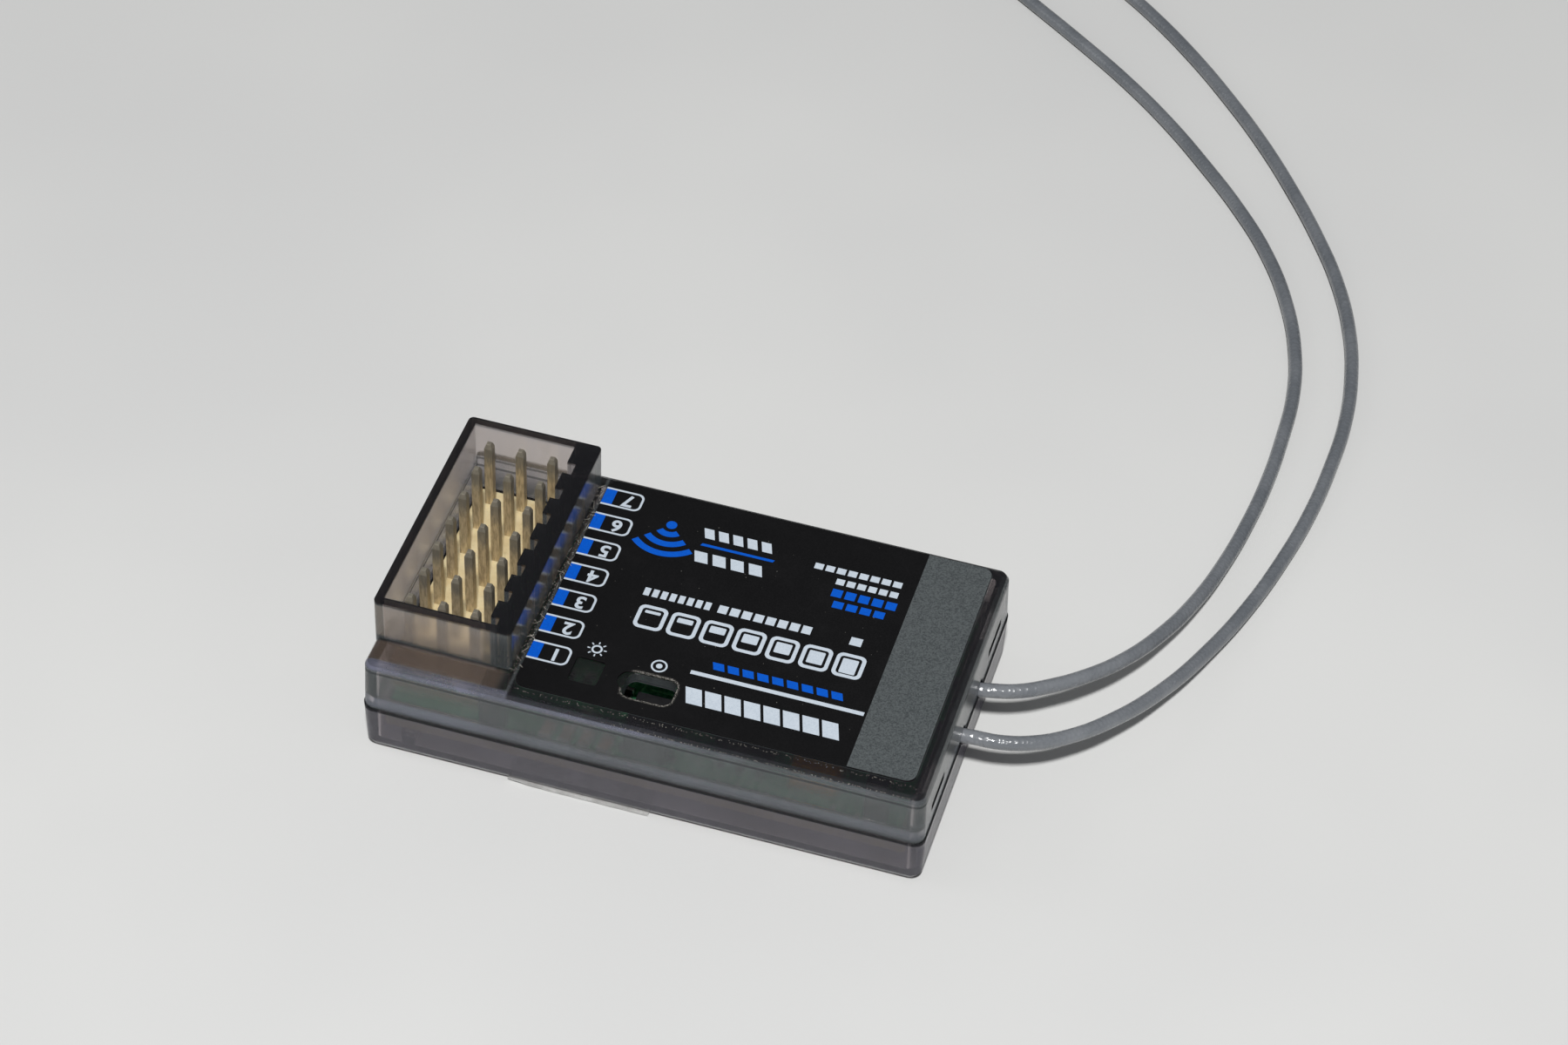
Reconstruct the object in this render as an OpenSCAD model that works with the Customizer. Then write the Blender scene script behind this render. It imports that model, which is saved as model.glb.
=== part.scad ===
// Radio control receiver with seven servo outputs and two coaxial aerials.
// +X runs from the plug well to the aerial end, +Y away from the link switch, +Z up.
// The origin is the centre of the case on the surface it lies on. Millimetres.

/* [Case] */
// Length of the case
case_length = 43.1; // [41:0.1:60]
// Width of the case
case_width = 25; // [24.4:0.1:40]
// Height of the flat top above the bottom
case_height = 8.8; // [8.4:0.1:14]
// Height of the line where the two shells meet
parting_height = 4.4; // [4.2:0.1:5]
// Thickness of the side walls
case_wall = 1; // [0.9:0.05:1.4]
// Thickness of the top plate
top_plate = 0.9; // [0.6:0.05:1.4]
// Thickness of the floor plate
floor_plate = 0.9; // [0.6:0.05:1.2]
// Radius of the upright corners
corner_radius = 0.9; // [0.8:0.1:2]
// Width of the soft band round the top edge
top_edge = 0.5; // [0.2:0.05:0.8]
// Width of the soft band round the bottom edge
bottom_edge = 0.75; // [0.2:0.05:0.8]
// How far the walls lean in from the parting line to the top and bottom
wall_draft = 0.12; // [0:0.01:0.3]

/* [Plug well] */
// Height of the well's rim above the flat top
well_rise = 3.6; // [1:0.1:6]
// Thickness of the well's end, front and back walls
well_wall = 0.65; // [0.5:0.05:1]
// Thickness of the well's keyed wall
key_wall = 2; // [1.4:0.1:3]
// Room for a plug along X
plug_room = 8; // [7.7:0.05:9]
// Distance from the middle of the case to the middle row, as a share of the case width
offset_share = 0.0416; // [-0.04:0.0008:0.048]
// Number of plug rows
row_count = 7; // [2:1:7]
// Distance between plug rows, as a share of the case width
row_share = 0.1132; // [0.104:0.0004:0.116]
// Width of a key notch, as a share of the distance between rows
key_share = 0.41; // [0.3:0.01:0.5]
// Depth of a key notch
key_depth = 0.7; // [0.4:0.05:1]
// Distance from a row's middle to the middle of its key notch, as a share of the distance between rows
key_offset_share = 0.385; // [0.2:0.005:0.45]

/* [Contact pins] */
// Thickness of a square pin
pin_side = 0.64; // [0.5:0.02:0.8]
// Distance between the pins of a row
pin_pitch = 2.54; // [2.3:0.01:2.6]
// Height of a pin tip above the header base
pin_reach = 6.2; // [4:0.1:6.4]
// Length of a pin below the board
pin_tail = 0.9; // [0.4:0.05:1.1]
// Length of the chamfer at a pin's ends
pin_chamfer = 0.4; // [0.2:0.02:0.6]
// Height of the moulded base that holds the pins
base_height = 2.54; // [1.5:0.02:3]

/* [Circuit board] */
// Thickness of the board
board_thickness = 1; // [0.6:0.05:1.2]
// Height of the board's underside above the surface
board_height = 2.2; // [2.1:0.05:2.4]
// Gap between the board and the walls
board_gap = 0.4; // [0.3:0.05:0.6]

/* [Link switch] */
// Size of the switch body along X and Y
switch_side = 3.2; // [2.6:0.1:3.6]
// Height of the switch body
switch_height = 3.3; // [2:0.1:3.4]
// Diameter of the button
button_diameter = 1.7; // [1:0.1:2]
// Height of the button above the switch body
button_rise = 0.8; // [0.5:0.05:1]
// Travel of the button
button_travel = 0.25; // [0.1:0.05:0.35]
// Length of the slot over the switch
slot_length = 3.75; // [3:0.05:4.4]
// Width of the slot over the switch
slot_width = 2.5; // [2:0.05:3]
// Distance from the middle of the case to the middle of the slot along Y, as a share of the case width
slot_share = 0.322; // [0.24:0.002:0.336]

/* [Labels] */
// Thickness of the top label
label_thickness = 0.12; // [0.08:0.01:0.3]
// Gap between the plug well and the top label
label_gap = 0.6; // [0.3:0.05:1.5]
// Margin between the label and the case's sides at the far end
label_margin = 1.4; // [1:0.05:2]
// Radius of the label's corners
label_radius = 0.8; // [0.2:0.1:2]
// Size of the window over the indicator light
window_side = 2.2; // [1.4:0.1:2.6]
// Length of the label under the case, along X
under_label_length = 11.2; // [6:0.1:20]

/* [Aerials] */
// Diameter of the coaxial lead
lead_diameter = 1.13; // [0.8:0.01:1.13]
// Diameter of the stripped tip
tip_diameter = 0.7; // [0.4:0.01:0.7]
// Gap round a lead in its exit
exit_gap = 0.2; // [0.1:0.05:0.4]

/* [Hidden] */
PIN_NAMES = ["signal", "power", "ground"];
$fn = 48;
eps = 0.01;

// The real case and its plug well, which the layout of the board was drawn for
REAL_CASE = [43.1, 25, 8.8];
REAL_WELL = [10.72, 20.81];

// Levels and places that the shells share
half_length = case_length / 2;
half_width = case_width / 2;
across = case_width / REAL_CASE.y;
upright = case_height / REAL_CASE.z;
lip = 0.07;
tongue_height = 0.7;
tongue_wall = 0.4;
tongue_gap = 0.08;
plate_under = case_height - top_plate;
rim_height = case_height + well_rise;
board_top = board_height + board_thickness;
base_top = board_top + base_height;
seat_gap = 0.1;

// The rows of plugs
row_pitch = row_share * case_width;
rows_offset = offset_share * case_width;
key_width = key_share * row_pitch;
key_offset = key_offset_share * row_pitch;

// The well: its inner faces from the end of the case and the rows
well_x0 = -half_length + lip + well_wall;
well_x1 = well_x0 + plug_room;
well_mid_x = (well_x0 + well_x1) / 2;
well_y0 = rows_offset - row_count * row_pitch / 2 + 0.15;
well_y1 = rows_offset + row_count * row_pitch / 2 - 0.15;
well_outer_x = well_x1 + key_wall;
row_middle = (row_count + 1) / 2;
foot_fillet = 0.3;

// Share that the bay between the well and the aerial end has of the real one
along = (half_length - well_outer_x) / (REAL_CASE.x - REAL_WELL.x);
function place_x(x) = half_length - (REAL_CASE.x / 2 - x) * along;
slot_x = place_x(-0.65);
slot_y = -slot_share * case_width;

// The board inside the walls
board_x = half_length - case_wall - board_gap;
board_y = half_width - case_wall - board_gap;

// The top label, from the well to the far end
label_x0 = well_outer_x + label_gap;
label_x1 = half_length - label_margin;
label_y0 = -half_width + (label_margin + 0.35) * across;
label_y1 = half_width - (label_margin - 0.65) * across;
window_x = slot_x - (slot_length / 2 + 3) * along;
under_label_x = -10.3 * case_length / REAL_CASE.x;
under_label_span = under_label_length * case_length / REAL_CASE.x;
under_label_recess = 0.15;
under_label_thickness = 0.1;

// Latches at the aerial end, as [Y of the middle, length]
LATCHES = [[7.8 * across, 3.6 * across], [-8.3 * across, 3.4 * across]];
latch_level = parting_height + 1.5;
latch_opening = 0.6;
latch_arm = 0.5;
latch_foot = 1.5;

// Aerial routes from the board, out of the end wall and along the surface, drawn for the real case
LEAD_POINTS_1 = [
    [16, 3.6, 3.9], [18.4, 3.6, 4], [22, 3.8, 4.4], [24.2, 4.5, 4.35],
    [26.3, 5.9, 4.2], [28.6, 8.1, 3.85], [30.8, 11.2, 3.25], [32.8, 15.6, 2.35],
    [34.4, 20.8, 1.4], [35.5, 26, 0.8], [36.3, 31.2, 0.62], [36.8, 36.6, 0.6],
    [36.9, 42, 0.6], [36.7, 47.2, 0.6], [35.8, 52.2, 0.6], [33.9, 57.9, 0.6],
    [31, 63.6, 0.6], [27.4, 68.7, 0.6], [23.4, 73.4, 0.6], [19.1, 78, 0.6],
    [14.2, 82.5, 0.6], [8.9, 86.7, 0.6], [3.4, 90.8, 0.6], [-0.8, 93.9, 0.6],
    [-4.6, 96.5, 0.6],
];
TIP_POINTS_1 = [
    [-4.6, 96.5, 0.6], [-8.4, 99.1, 0.6], [-13.2, 101.3, 0.45], [-18.2, 102.6, 0.38],
    [-23.4, 103.1, 0.38], [-28.5, 103.3, 0.38], [-33.6, 102.8, 0.38],
];
LEAD_POINTS_2 = [
    [16, -1.1, 3.9], [18.4, -1.1, 4], [22, -1.1, 4.4], [24.2, -0.9, 4.35],
    [26.4, -0.1, 4.2], [28.8, 1.7, 3.85], [31.5, 5, 3.25], [34.2, 10.1, 2.2],
    [36.5, 16.2, 1.2], [38.4, 22.3, 0.72], [39.8, 28.2, 0.6], [40.8, 34, 0.6],
    [41.3, 39.8, 0.6], [41.4, 45.4, 0.6], [40.8, 51, 0.6], [39.5, 56.5, 0.6],
    [37.4, 62, 0.6], [34.6, 67.3, 0.6], [31.3, 72.6, 0.6], [27.6, 77.9, 0.6],
    [23.5, 83, 0.6], [19, 88, 0.6], [14.1, 92.7, 0.6], [10.6, 95.6, 0.6],
];
TIP_POINTS_2 = [
    [10.6, 95.6, 0.6], [7.1, 98.5, 0.6], [2.4, 101, 0.45], [-2.5, 102.9, 0.38],
    [-7.6, 104.2, 0.38], [-12.6, 105, 0.38], [-17.7, 105.2, 0.38],
];
function from_end_wall(points) = [for (p = points) [p.x + half_length - REAL_CASE.x / 2, p.y, p.z]];
LEAD_ROUTE_1 = from_end_wall(LEAD_POINTS_1);
LEAD_ROUTE_2 = from_end_wall(LEAD_POINTS_2);
exit_1 = LEAD_ROUTE_1[2];
exit_2 = LEAD_ROUTE_2[2];

// Colours as the object shows them
SMOKE = [0.33, 0.34, 0.37, 0.55];
CREAM = "#cdbb94";
TAN_GOLD = "#8f7d55";
BOARD_GREEN = "#2f5a3c";
PRINT_BLACK = "#141416";
CHIP_BLACK = "#1b1b1d";
TIN = "#b9bbbd";
COAX_GREY = "#6b7178";

function row_y(row) = rows_offset + (row - row_middle) * row_pitch;
function pin_x(column) = well_mid_x + 0.1 + (column - 1) * pin_pitch;

// Outline with true round corners, centred
module rounded_rect(length, width, radius) {
    square([length - 2 * radius, width], center = true);
    square([length, width - 2 * radius], center = true);
    for (x = [-1, 1]) {
        for (y = [-1, 1]) {
            translate([x * (length / 2 - radius), y * (width / 2 - radius)]) circle(radius);
        }
    }
}

// A thin slice of the case outline at one level, drawn in by an inset
module case_slice(level, inset) {
    translate([0, 0, level])
        linear_extrude(eps)
            rounded_rect(case_length - 2 * inset, case_width - 2 * inset, max(0.3, corner_radius - inset / 2),
                $fn = 32);
}

// Everything inside the case walls between two levels
module case_room(level0, level1, inset) {
    hull() {
        case_slice(level0, inset);
        case_slice(level1 - eps, inset + wall_draft / 2);
    }
}

// The round exits of both aerials, with the small vee above each
module aerial_exits() {
    for (place = [exit_1, exit_2]) {
        translate([half_length - case_wall - tongue_wall - 0.5, place.y, parting_height])
            rotate([0, 90, 0])
                cylinder(d = lead_diameter + 2 * exit_gap, h = case_wall + tongue_wall + 2);
        translate([half_length - case_wall / 2, place.y, parting_height + lead_diameter / 2 + exit_gap])
            rotate([90, 0, 90])
                linear_extrude(case_wall, center = true)
                    polygon([[-0.25, -0.1], [0.25, -0.1], [0, 0.35]]);
    }
}

// One key notch, from the header base up through the rim
module key_notch(row) {
    notch_floor = base_top + seat_gap;
    translate([well_x1 - eps, row_y(row) - key_offset - key_width / 2, notch_floor])
        cube([key_depth + eps, key_width, rim_height]);
}

// The space that the plugs go into, open at the rim
module plug_space() {
    translate([well_x0, well_y0, parting_height])
        cube([plug_room, well_y1 - well_y0, rim_height]);
    intersection() {
        for (row = [1:row_count]) key_notch(row);
        translate([well_x0, well_y0, parting_height])
            cube([plug_room + key_wall, well_y1 - well_y0, rim_height]);
    }
}

// The block that stands up round the plug space, slightly drafted
module well_block(level0, level1, draft) {
    for_depth = well_outer_x + half_length - lip;
    mid_x = (well_outer_x - half_length + lip) / 2;
    mid_y = (well_y0 + well_y1) / 2;
    depth = well_y1 - well_y0 + 2 * well_wall;
    hull() {
        translate([mid_x, mid_y, level0])
            linear_extrude(eps)
                rounded_rect(for_depth, depth + 2 * draft, 0.4, $fn = 32);
        translate([mid_x, mid_y, level1 - eps])
            linear_extrude(eps)
                rounded_rect(for_depth, depth, 0.4, $fn = 32);
    }
}

// Hollow fillet where the well's front wall meets the flat top
module well_foot() {
    sunk = 0.1;
    reach = well_outer_x + half_length - 0.8;
    front = well_y0 - well_wall;
    translate([well_outer_x - 0.1, front + sunk, case_height - sunk])
        rotate([90, 0, -90])
            linear_extrude(reach)
                difference() {
                    square(foot_fillet + sunk);
                    translate([1, 1] * (foot_fillet + sunk * 0.6)) circle(foot_fillet, $fn = 32);
                }
}

// Posts under the top plate that hold the board down
module hold_down_posts() {
    post = 1.6;
    for (x = [well_outer_x - post / 2 - 0.2, board_x - post - 1]) {
        for (y = [-1, 1]) {
            translate([x, y * (board_y - post / 2), (board_top + seat_gap + plate_under) / 2])
                cube([post, post, plate_under - board_top - seat_gap + eps], center = true);
        }
    }
}

// Slots in the end wall that the lower shell's hooks snap into
module latch_slots() {
    for (latch = LATCHES) {
        translate([half_length - case_wall / 2, latch[0], latch_level])
            cube([case_wall + 2 * lip + 0.4, latch[1], latch_opening], center = true);
    }
}

module switch_slot() {
    translate([slot_x, slot_y, plate_under - eps])
        linear_extrude(top_plate + 2 * eps + label_thickness)
            rounded_rect(slot_length * along, slot_width * across, 0.7 * min(along, across));
}

module upper_case() {
    color(SMOKE)
        difference() {
            union() {
                difference() {
                    hull() {
                        case_slice(parting_height, lip);
                        case_slice(case_height - top_edge, lip + wall_draft);
                        case_slice(case_height - top_edge * 0.35, lip + wall_draft + top_edge * 0.35);
                        case_slice(case_height - eps, lip + wall_draft + top_edge);
                    }
                    case_room(parting_height - eps, plate_under, case_wall);
                    case_room(parting_height - eps, parting_height + tongue_height + 2 * tongue_gap,
                        case_wall - tongue_wall - tongue_gap);
                }
                well_block(base_top + seat_gap, rim_height, 0.06);
                well_foot();
                hold_down_posts();
            }
            plug_space();
            switch_slot();
            aerial_exits();
            latch_slots();
        }
}

// A hook of the lower shell, rising inside the end wall into its slot
module latch_hook(latch) {
    arm_x = half_length - case_wall - tongue_gap - latch_arm;
    hook_top = latch_level + latch_opening / 2 - tongue_gap;
    foot_reach = latch_arm + tongue_gap + 0.2;
    translate([arm_x, latch[0] + (latch[1] - 2 * tongue_gap) / 2, 0])
        rotate([90, 0, 0])
            linear_extrude(latch[1] - 2 * tongue_gap)
                polygon([
                    [0, parting_height - latch_foot], [foot_reach, parting_height - latch_foot],
                    [foot_reach, parting_height - 0.5], [latch_arm, parting_height - 0.3],
                    [latch_arm, latch_level - latch_opening / 2 + tongue_gap],
                    [latch_arm + 0.45, latch_level - latch_opening / 2 + tongue_gap],
                    [latch_arm, hook_top], [0, hook_top],
                ]);
}

// Shelves under the board, at both corners by the pins and along the aerial end
module board_shelves() {
    shelf = 1.6;
    overlap = 0.2;
    rise = board_height - floor_plate + overlap;
    middle = board_height - rise / 2;
    for (y = [-1, 1]) {
        translate([-0.84 * half_length, y * (half_width - case_wall - shelf / 2 + overlap), middle])
            cube([1, shelf, rise], center = true);
    }
    for (y = [-5, 0, 5]) {
        translate([half_length - case_wall - shelf / 2 + overlap, y * across, middle])
            cube([shelf, 1, rise], center = true);
    }
}

module lower_case() {
    color(SMOKE)
        difference() {
            union() {
                difference() {
                    hull() {
                        case_slice(0, wall_draft + bottom_edge);
                        case_slice(bottom_edge * 0.4, wall_draft + bottom_edge * 0.3);
                        case_slice(bottom_edge, wall_draft);
                        case_slice(parting_height - eps, 0);
                    }
                    case_room(floor_plate, parting_height + eps, case_wall);
                }
                difference() {
                    case_room(parting_height - 0.6, parting_height + tongue_height,
                        case_wall - tongue_wall);
                    case_room(parting_height - 0.7, parting_height + tongue_height + eps, case_wall);
                }
                board_shelves();
                for (latch = LATCHES) latch_hook(latch);
            }
            aerial_exits();
            translate([under_label_x, -half_width - 1, -1])
                cube([under_label_span, case_width * 0.8 + 1, 1 + under_label_recess]);
        }
}

module label_window() {
    translate([window_x, slot_y + 0.2 * across])
        rounded_rect(window_side * along, (window_side + 0.3) * across, 0.3 * min(along, across));
}

module top_label() {
    label_length = label_x1 - label_x0;
    label_width = label_y1 - label_y0;
    cut = 0.15;
    color(PRINT_BLACK)
        translate([0, 0, case_height])
            linear_extrude(label_thickness)
                difference() {
                    translate([label_x0 + label_length / 2, label_y0 + label_width / 2])
                        rounded_rect(label_length, label_width, label_radius);
                    label_window();
                    translate([slot_x, slot_y])
                        rounded_rect(slot_length * along + cut, slot_width * across + cut,
                            0.75 * min(along, across));
                    translate([slot_x - (slot_length / 2 - 0.35) * along, slot_y + 0.3 * across])
                        circle(min(along, across));
                }
}

module bottom_label() {
    margin = 0.15;
    front_inset = 0.25;
    color("silver")
        translate([under_label_x + margin, -half_width + front_inset, under_label_recess])
            mirror([0, 0, 1])
                cube([under_label_span - 2 * margin, case_width * 0.8 - front_inset - margin,
                    under_label_thickness]);
}

module circuit_board() {
    hole = 1;
    color(BOARD_GREEN)
        translate([0, 0, board_height])
            linear_extrude(board_thickness)
                difference() {
                    rounded_rect(2 * board_x, 2 * board_y, 0.5);
                    for (row = [1:row_count]) {
                        for (column = [0:2]) translate([pin_x(column), row_y(row)]) circle(d = hole);
                    }
                    for (latch = LATCHES) {
                        translate([board_x, latch[0]]) square([1.4, latch[1] + 0.6], center = true);
                    }
                }
}

// The moulded strip that holds the pins
module header_base() {
    length = 3 * pin_pitch - seat_gap;
    width = row_count * row_pitch - 0.6;
    color(CREAM)
        difference() {
            translate([pin_x(1), rows_offset, board_top + base_height / 2])
                cube([length, width, base_height], center = true);
            for (row = [1:row_count]) {
                for (column = [0:2]) {
                    translate([pin_x(column), row_y(row), board_top + base_height / 2])
                        cube([pin_side, pin_side, base_height + 1], center = true);
                }
            }
        }
}

// Side view of a square pin with chamfered ends, standing on its tail
module pin_profile() {
    length = pin_tail + board_thickness + base_height + pin_reach;
    half = pin_side / 2;
    tip = pin_side * 0.28;
    polygon([
        [-tip, 0], [tip, 0], [half, pin_chamfer], [half, length - pin_chamfer],
        [tip, length], [-tip, length], [-half, length - pin_chamfer], [-half, pin_chamfer],
    ]);
}

module contact_pin(row, column) {
    color(TAN_GOLD)
        translate([pin_x(column), row_y(row), board_height - pin_tail])
            intersection() {
                rotate([90, 0, 0])
                    linear_extrude(pin_side, center = true) pin_profile();
                rotate([90, 0, 90])
                    linear_extrude(pin_side, center = true) pin_profile();
            }
}

// Solder cones under the board, one round each pin
module pin_solder() {
    cone = 0.6;
    color(TIN)
        for (row = [1:row_count]) {
            for (column = [0:2]) {
                translate([pin_x(column), row_y(row), board_height - cone])
                    difference() {
                        cylinder(d1 = 1.05, d2 = 1.7, h = cone, $fn = 24);
                        cube([pin_side, pin_side, 4], center = true);
                    }
            }
        }
}

// Stands the parts of the board at a place that follows the case, at its size
module on_board(x, y) {
    translate([place_x(x), y * across, board_top]) scale([along, across, upright]) children();
}

// A push switch: moulded body and four legs
module link_switch_body() {
    well = button_diameter + 0.2;
    color(CHIP_BLACK)
        translate([slot_x + 0.3 * along, slot_y, board_top])
            difference() {
                scale([along, across, 1]) {
                    translate([0, 0, switch_height / 2])
                        cube([switch_side, switch_side, switch_height], center = true);
                    for (x = [-1, 1]) {
                        for (y = [-1, 1]) {
                            translate([x * (switch_side / 2 + 0.25), y * switch_side * 0.3, 0.15])
                                cube([0.7, 0.5, 0.3], center = true);
                        }
                    }
                }
                translate([0, 0, switch_height - 1.2])
                    cylinder(d = well, h = 2);
            }
}

module link_button() {
    depth = 0.8;
    color("#101012")
        translate([slot_x + 0.3 * along, slot_y, board_top + switch_height - depth])
            cylinder(d = button_diameter, h = depth + button_rise);
}

module status_light() {
    color("#dfe8d8")
        translate([window_x, slot_y + 0.2 * across, board_top])
            scale([along, across, upright]) {
                translate([0, 0, 0.2]) cube([1.6, 0.8, 0.4], center = true);
                translate([0, 0, 0.55]) cube([1, 0.8, 0.3], center = true);
            }
}

// A flat chip with a row of legs on each of its four sides
module flat_chip(side, height, legs, pitch) {
    translate([0, 0, height / 2 + 0.1]) cube([side, side, height], center = true);
    for (turn = [0, 90, 180, 270]) {
        rotate(turn)
            for (leg = [0:legs - 1]) {
                translate([side / 2 + 0.2, (leg - (legs - 1) / 2) * pitch, 0.2])
                    cube([0.9, pitch / 2, 0.2], center = true);
            }
    }
}

module controller_chip() {
    color(CHIP_BLACK)
        on_board(-3, 2.5) flat_chip(7, 1, 10, 0.6);
}

module radio_chip() {
    color(CHIP_BLACK)
        on_board(9, 3.2) translate([0, 0, 0.45]) cube([4, 4, 0.9], center = true);
}

// Folded metal cover over the radio, open underneath
module shield_can() {
    sheet = 0.2;
    can = [9, 10, 2];
    color(TIN)
        on_board(9, 3.4)
            translate([0, 0, can.z / 2])
                difference() {
                    cube(can, center = true);
                    translate([0, 0, -sheet])
                        cube([can.x - 2 * sheet, can.y - 2 * sheet, can.z], center = true);
                }
}

module crystal() {
    color(TIN)
        on_board(-3, 8.6) {
            translate([0, 0, 0.15]) cube([3.2, 2.5, 0.3], center = true);
            translate([0, 0, 0.5]) cube([2.8, 2.1, 0.4], center = true);
        }
}

module aerial_switch_chip() {
    color(CHIP_BLACK)
        on_board(12.3, -4.6) translate([0, 0, 0.4]) cube([2, 2, 0.8], center = true);
}

// Regulator with its wide heat tab and three legs
module voltage_regulator() {
    color(CHIP_BLACK)
        on_board(6.6, -6.6) {
            translate([0, 0, 0.8]) cube([4.5, 2.5, 1.5], center = true);
            translate([0, 1.5, 0.2]) cube([1.8, 1.2, 0.4], center = true);
            for (x = [-1.5, 0, 1.5]) translate([x, -1.55, 0.2]) cube([0.5, 1.2, 0.4], center = true);
        }
}

module moulded_capacitor(length, width, height) {
    translate([0, 0, height / 2]) cube([length, width, height], center = true);
    for (x = [-1, 1]) translate([x * (length / 2 + 0.08), 0, 0.6]) cube([0.16, width * 0.7, 1.2], center = true);
}

module reservoir_capacitor() {
    color("#c98f2c")
        on_board(-9, 7.4) rotate(90) moulded_capacitor(6, 3.2, 2.5);
}

module filter_capacitor() {
    color("#c98f2c")
        on_board(12.2, -7.2) moulded_capacitor(3.5, 2.8, 1.9);
}

// Rows of small ceramic parts, each a body between two metal ends
module ceramic_row(count, start, step, size) {
    for (i = [0:count - 1]) {
        on_board(start.x + i * step.x, start.y + i * step.y)
            translate([0, 0, size.z / 2]) cube(size, center = true);
    }
}

module chip_capacitors() {
    color("#b09070") {
        ceramic_row(4, [-7.9, -9.5], [1.5, 0], [0.8, 1.6, 0.8]);
        ceramic_row(3, [2.6, -2.4], [0, -1.4], [1.6, 0.8, 0.8]);
        ceramic_row(3, [15.4, 7.6], [0, -1.3], [1, 0.6, 0.5]);
    }
}

module chip_resistors() {
    color("#222428") {
        ceramic_row(5, [-9.6, -4.6], [1.5, 0], [0.8, 1.6, 0.45]);
        ceramic_row(4, [7.2, -3.6], [1.1, 0], [0.5, 1, 0.35]);
    }
}

// Metal saddle that holds a coaxial lead's braid to the board
module aerial_clamp(route) {
    clamp_gap = 0.3;
    saddle = [1.6, lead_diameter + 1.2, lead_diameter + 0.6];
    color(TIN)
        translate([route[0].x + 1.2, route[0].y, board_top + saddle.z / 2])
            difference() {
                cube(saddle, center = true);
                translate([0, 0, route[0].z + 0.05 - board_top - saddle.z / 2])
                    rotate([0, 90, 0])
                        cylinder(d = lead_diameter + clamp_gap, h = 3, center = true);
                translate([0, 0, -saddle.z / 2])
                    cube([3, lead_diameter + clamp_gap, lead_diameter + 0.4], center = true);
            }
}

function unit(v) = v / norm(v);
function heading(route, i) = unit(route[min(i + 1, len(route) - 1)] - route[max(i - 1, 0)]);
function ring(route, i, radius, sides) =
    let (
        along = heading(route, i),
        side = unit(cross([0, 0, 1], along)),
        up = cross(along, side)
    )
    [for (k = [0:sides - 1])
        route[i] + radius * (cos(360 * k / sides) * side + sin(360 * k / sides) * up)];

// A round tube swept along a route, closed at both ends
module swept_tube(route, radius, sides = 8) {
    count = len(route);
    points = [for (i = [0:count - 1]) each ring(route, i, radius, sides)];
    skin = [for (i = [0:count - 2]) for (k = [0:sides - 1])
        [(i + 1) * sides + k, (i + 1) * sides + (k + 1) % sides,
            i * sides + (k + 1) % sides, i * sides + k]];
    first = [for (k = [0:sides - 1]) k];
    last = [for (k = [0:sides - 1]) count * sides - 1 - k];
    polyhedron(points, concat([first, last], skin), convexity = 8);
}

module aerial_lead(route) {
    color(COAX_GREY) swept_tube(route, lead_diameter / 2);
}

module aerial_tip(route) {
    color("#d8d8d4") swept_tube(route, tip_diameter / 2);
}

upper_case();
lower_case();
top_label();
bottom_label();
circuit_board();
header_base();
for (row = [1:row_count]) {
    for (column = [0:2]) {
        contact_pin(row, column);
    }
}
pin_solder();
link_switch_body();
link_button();
status_light();
controller_chip();
radio_chip();
shield_can();
crystal();
aerial_switch_chip();
voltage_regulator();
reservoir_capacitor();
filter_capacitor();
chip_capacitors();
chip_resistors();
aerial_clamp(LEAD_ROUTE_1);  // aerial_clamp_1
aerial_clamp(LEAD_ROUTE_2);  // aerial_clamp_2
aerial_lead(LEAD_ROUTE_1);  // aerial_lead_1
aerial_lead(LEAD_ROUTE_2);  // aerial_lead_2
aerial_tip(from_end_wall(TIP_POINTS_1));  // aerial_tip_1
aerial_tip(from_end_wall(TIP_POINTS_2));  // aerial_tip_2
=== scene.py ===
"""Radio control receiver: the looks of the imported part, in metres, in the CAD frame."""
import logging
import math
from dataclasses import dataclass, field
from enum import Enum
from typing import Sequence, Union

import bmesh
import bpy
from mathutils import Matrix, Vector


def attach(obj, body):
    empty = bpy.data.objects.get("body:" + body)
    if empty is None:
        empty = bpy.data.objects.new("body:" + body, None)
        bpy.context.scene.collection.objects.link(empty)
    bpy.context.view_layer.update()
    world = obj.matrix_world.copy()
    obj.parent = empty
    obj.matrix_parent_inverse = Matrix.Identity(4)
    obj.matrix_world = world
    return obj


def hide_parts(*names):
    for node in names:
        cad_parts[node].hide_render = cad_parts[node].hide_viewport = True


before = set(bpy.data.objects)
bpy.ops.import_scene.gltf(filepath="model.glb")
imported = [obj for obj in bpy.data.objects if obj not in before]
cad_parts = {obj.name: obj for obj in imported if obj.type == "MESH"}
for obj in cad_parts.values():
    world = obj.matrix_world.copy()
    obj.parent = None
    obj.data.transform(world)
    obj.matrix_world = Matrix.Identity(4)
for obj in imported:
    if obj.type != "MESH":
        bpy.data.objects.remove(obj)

log = logging.getLogger("receiver")
MM = 0.001
Point2 = tuple[float, float]
Point3 = tuple[float, float, float]
Colour = tuple[float, float, float]


def srgb(red: int, green: int, blue: int) -> Colour:
    """Turns display values from 0 to 255 into the linear colour that Blender uses."""
    def linear(value: int) -> float:
        """Linear share of one display value."""
        share = value / 255
        return share / 12.92 if share <= 0.04045 else ((share + 0.055) / 1.055) ** 2.4
    return (linear(red), linear(green), linear(blue))


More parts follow.
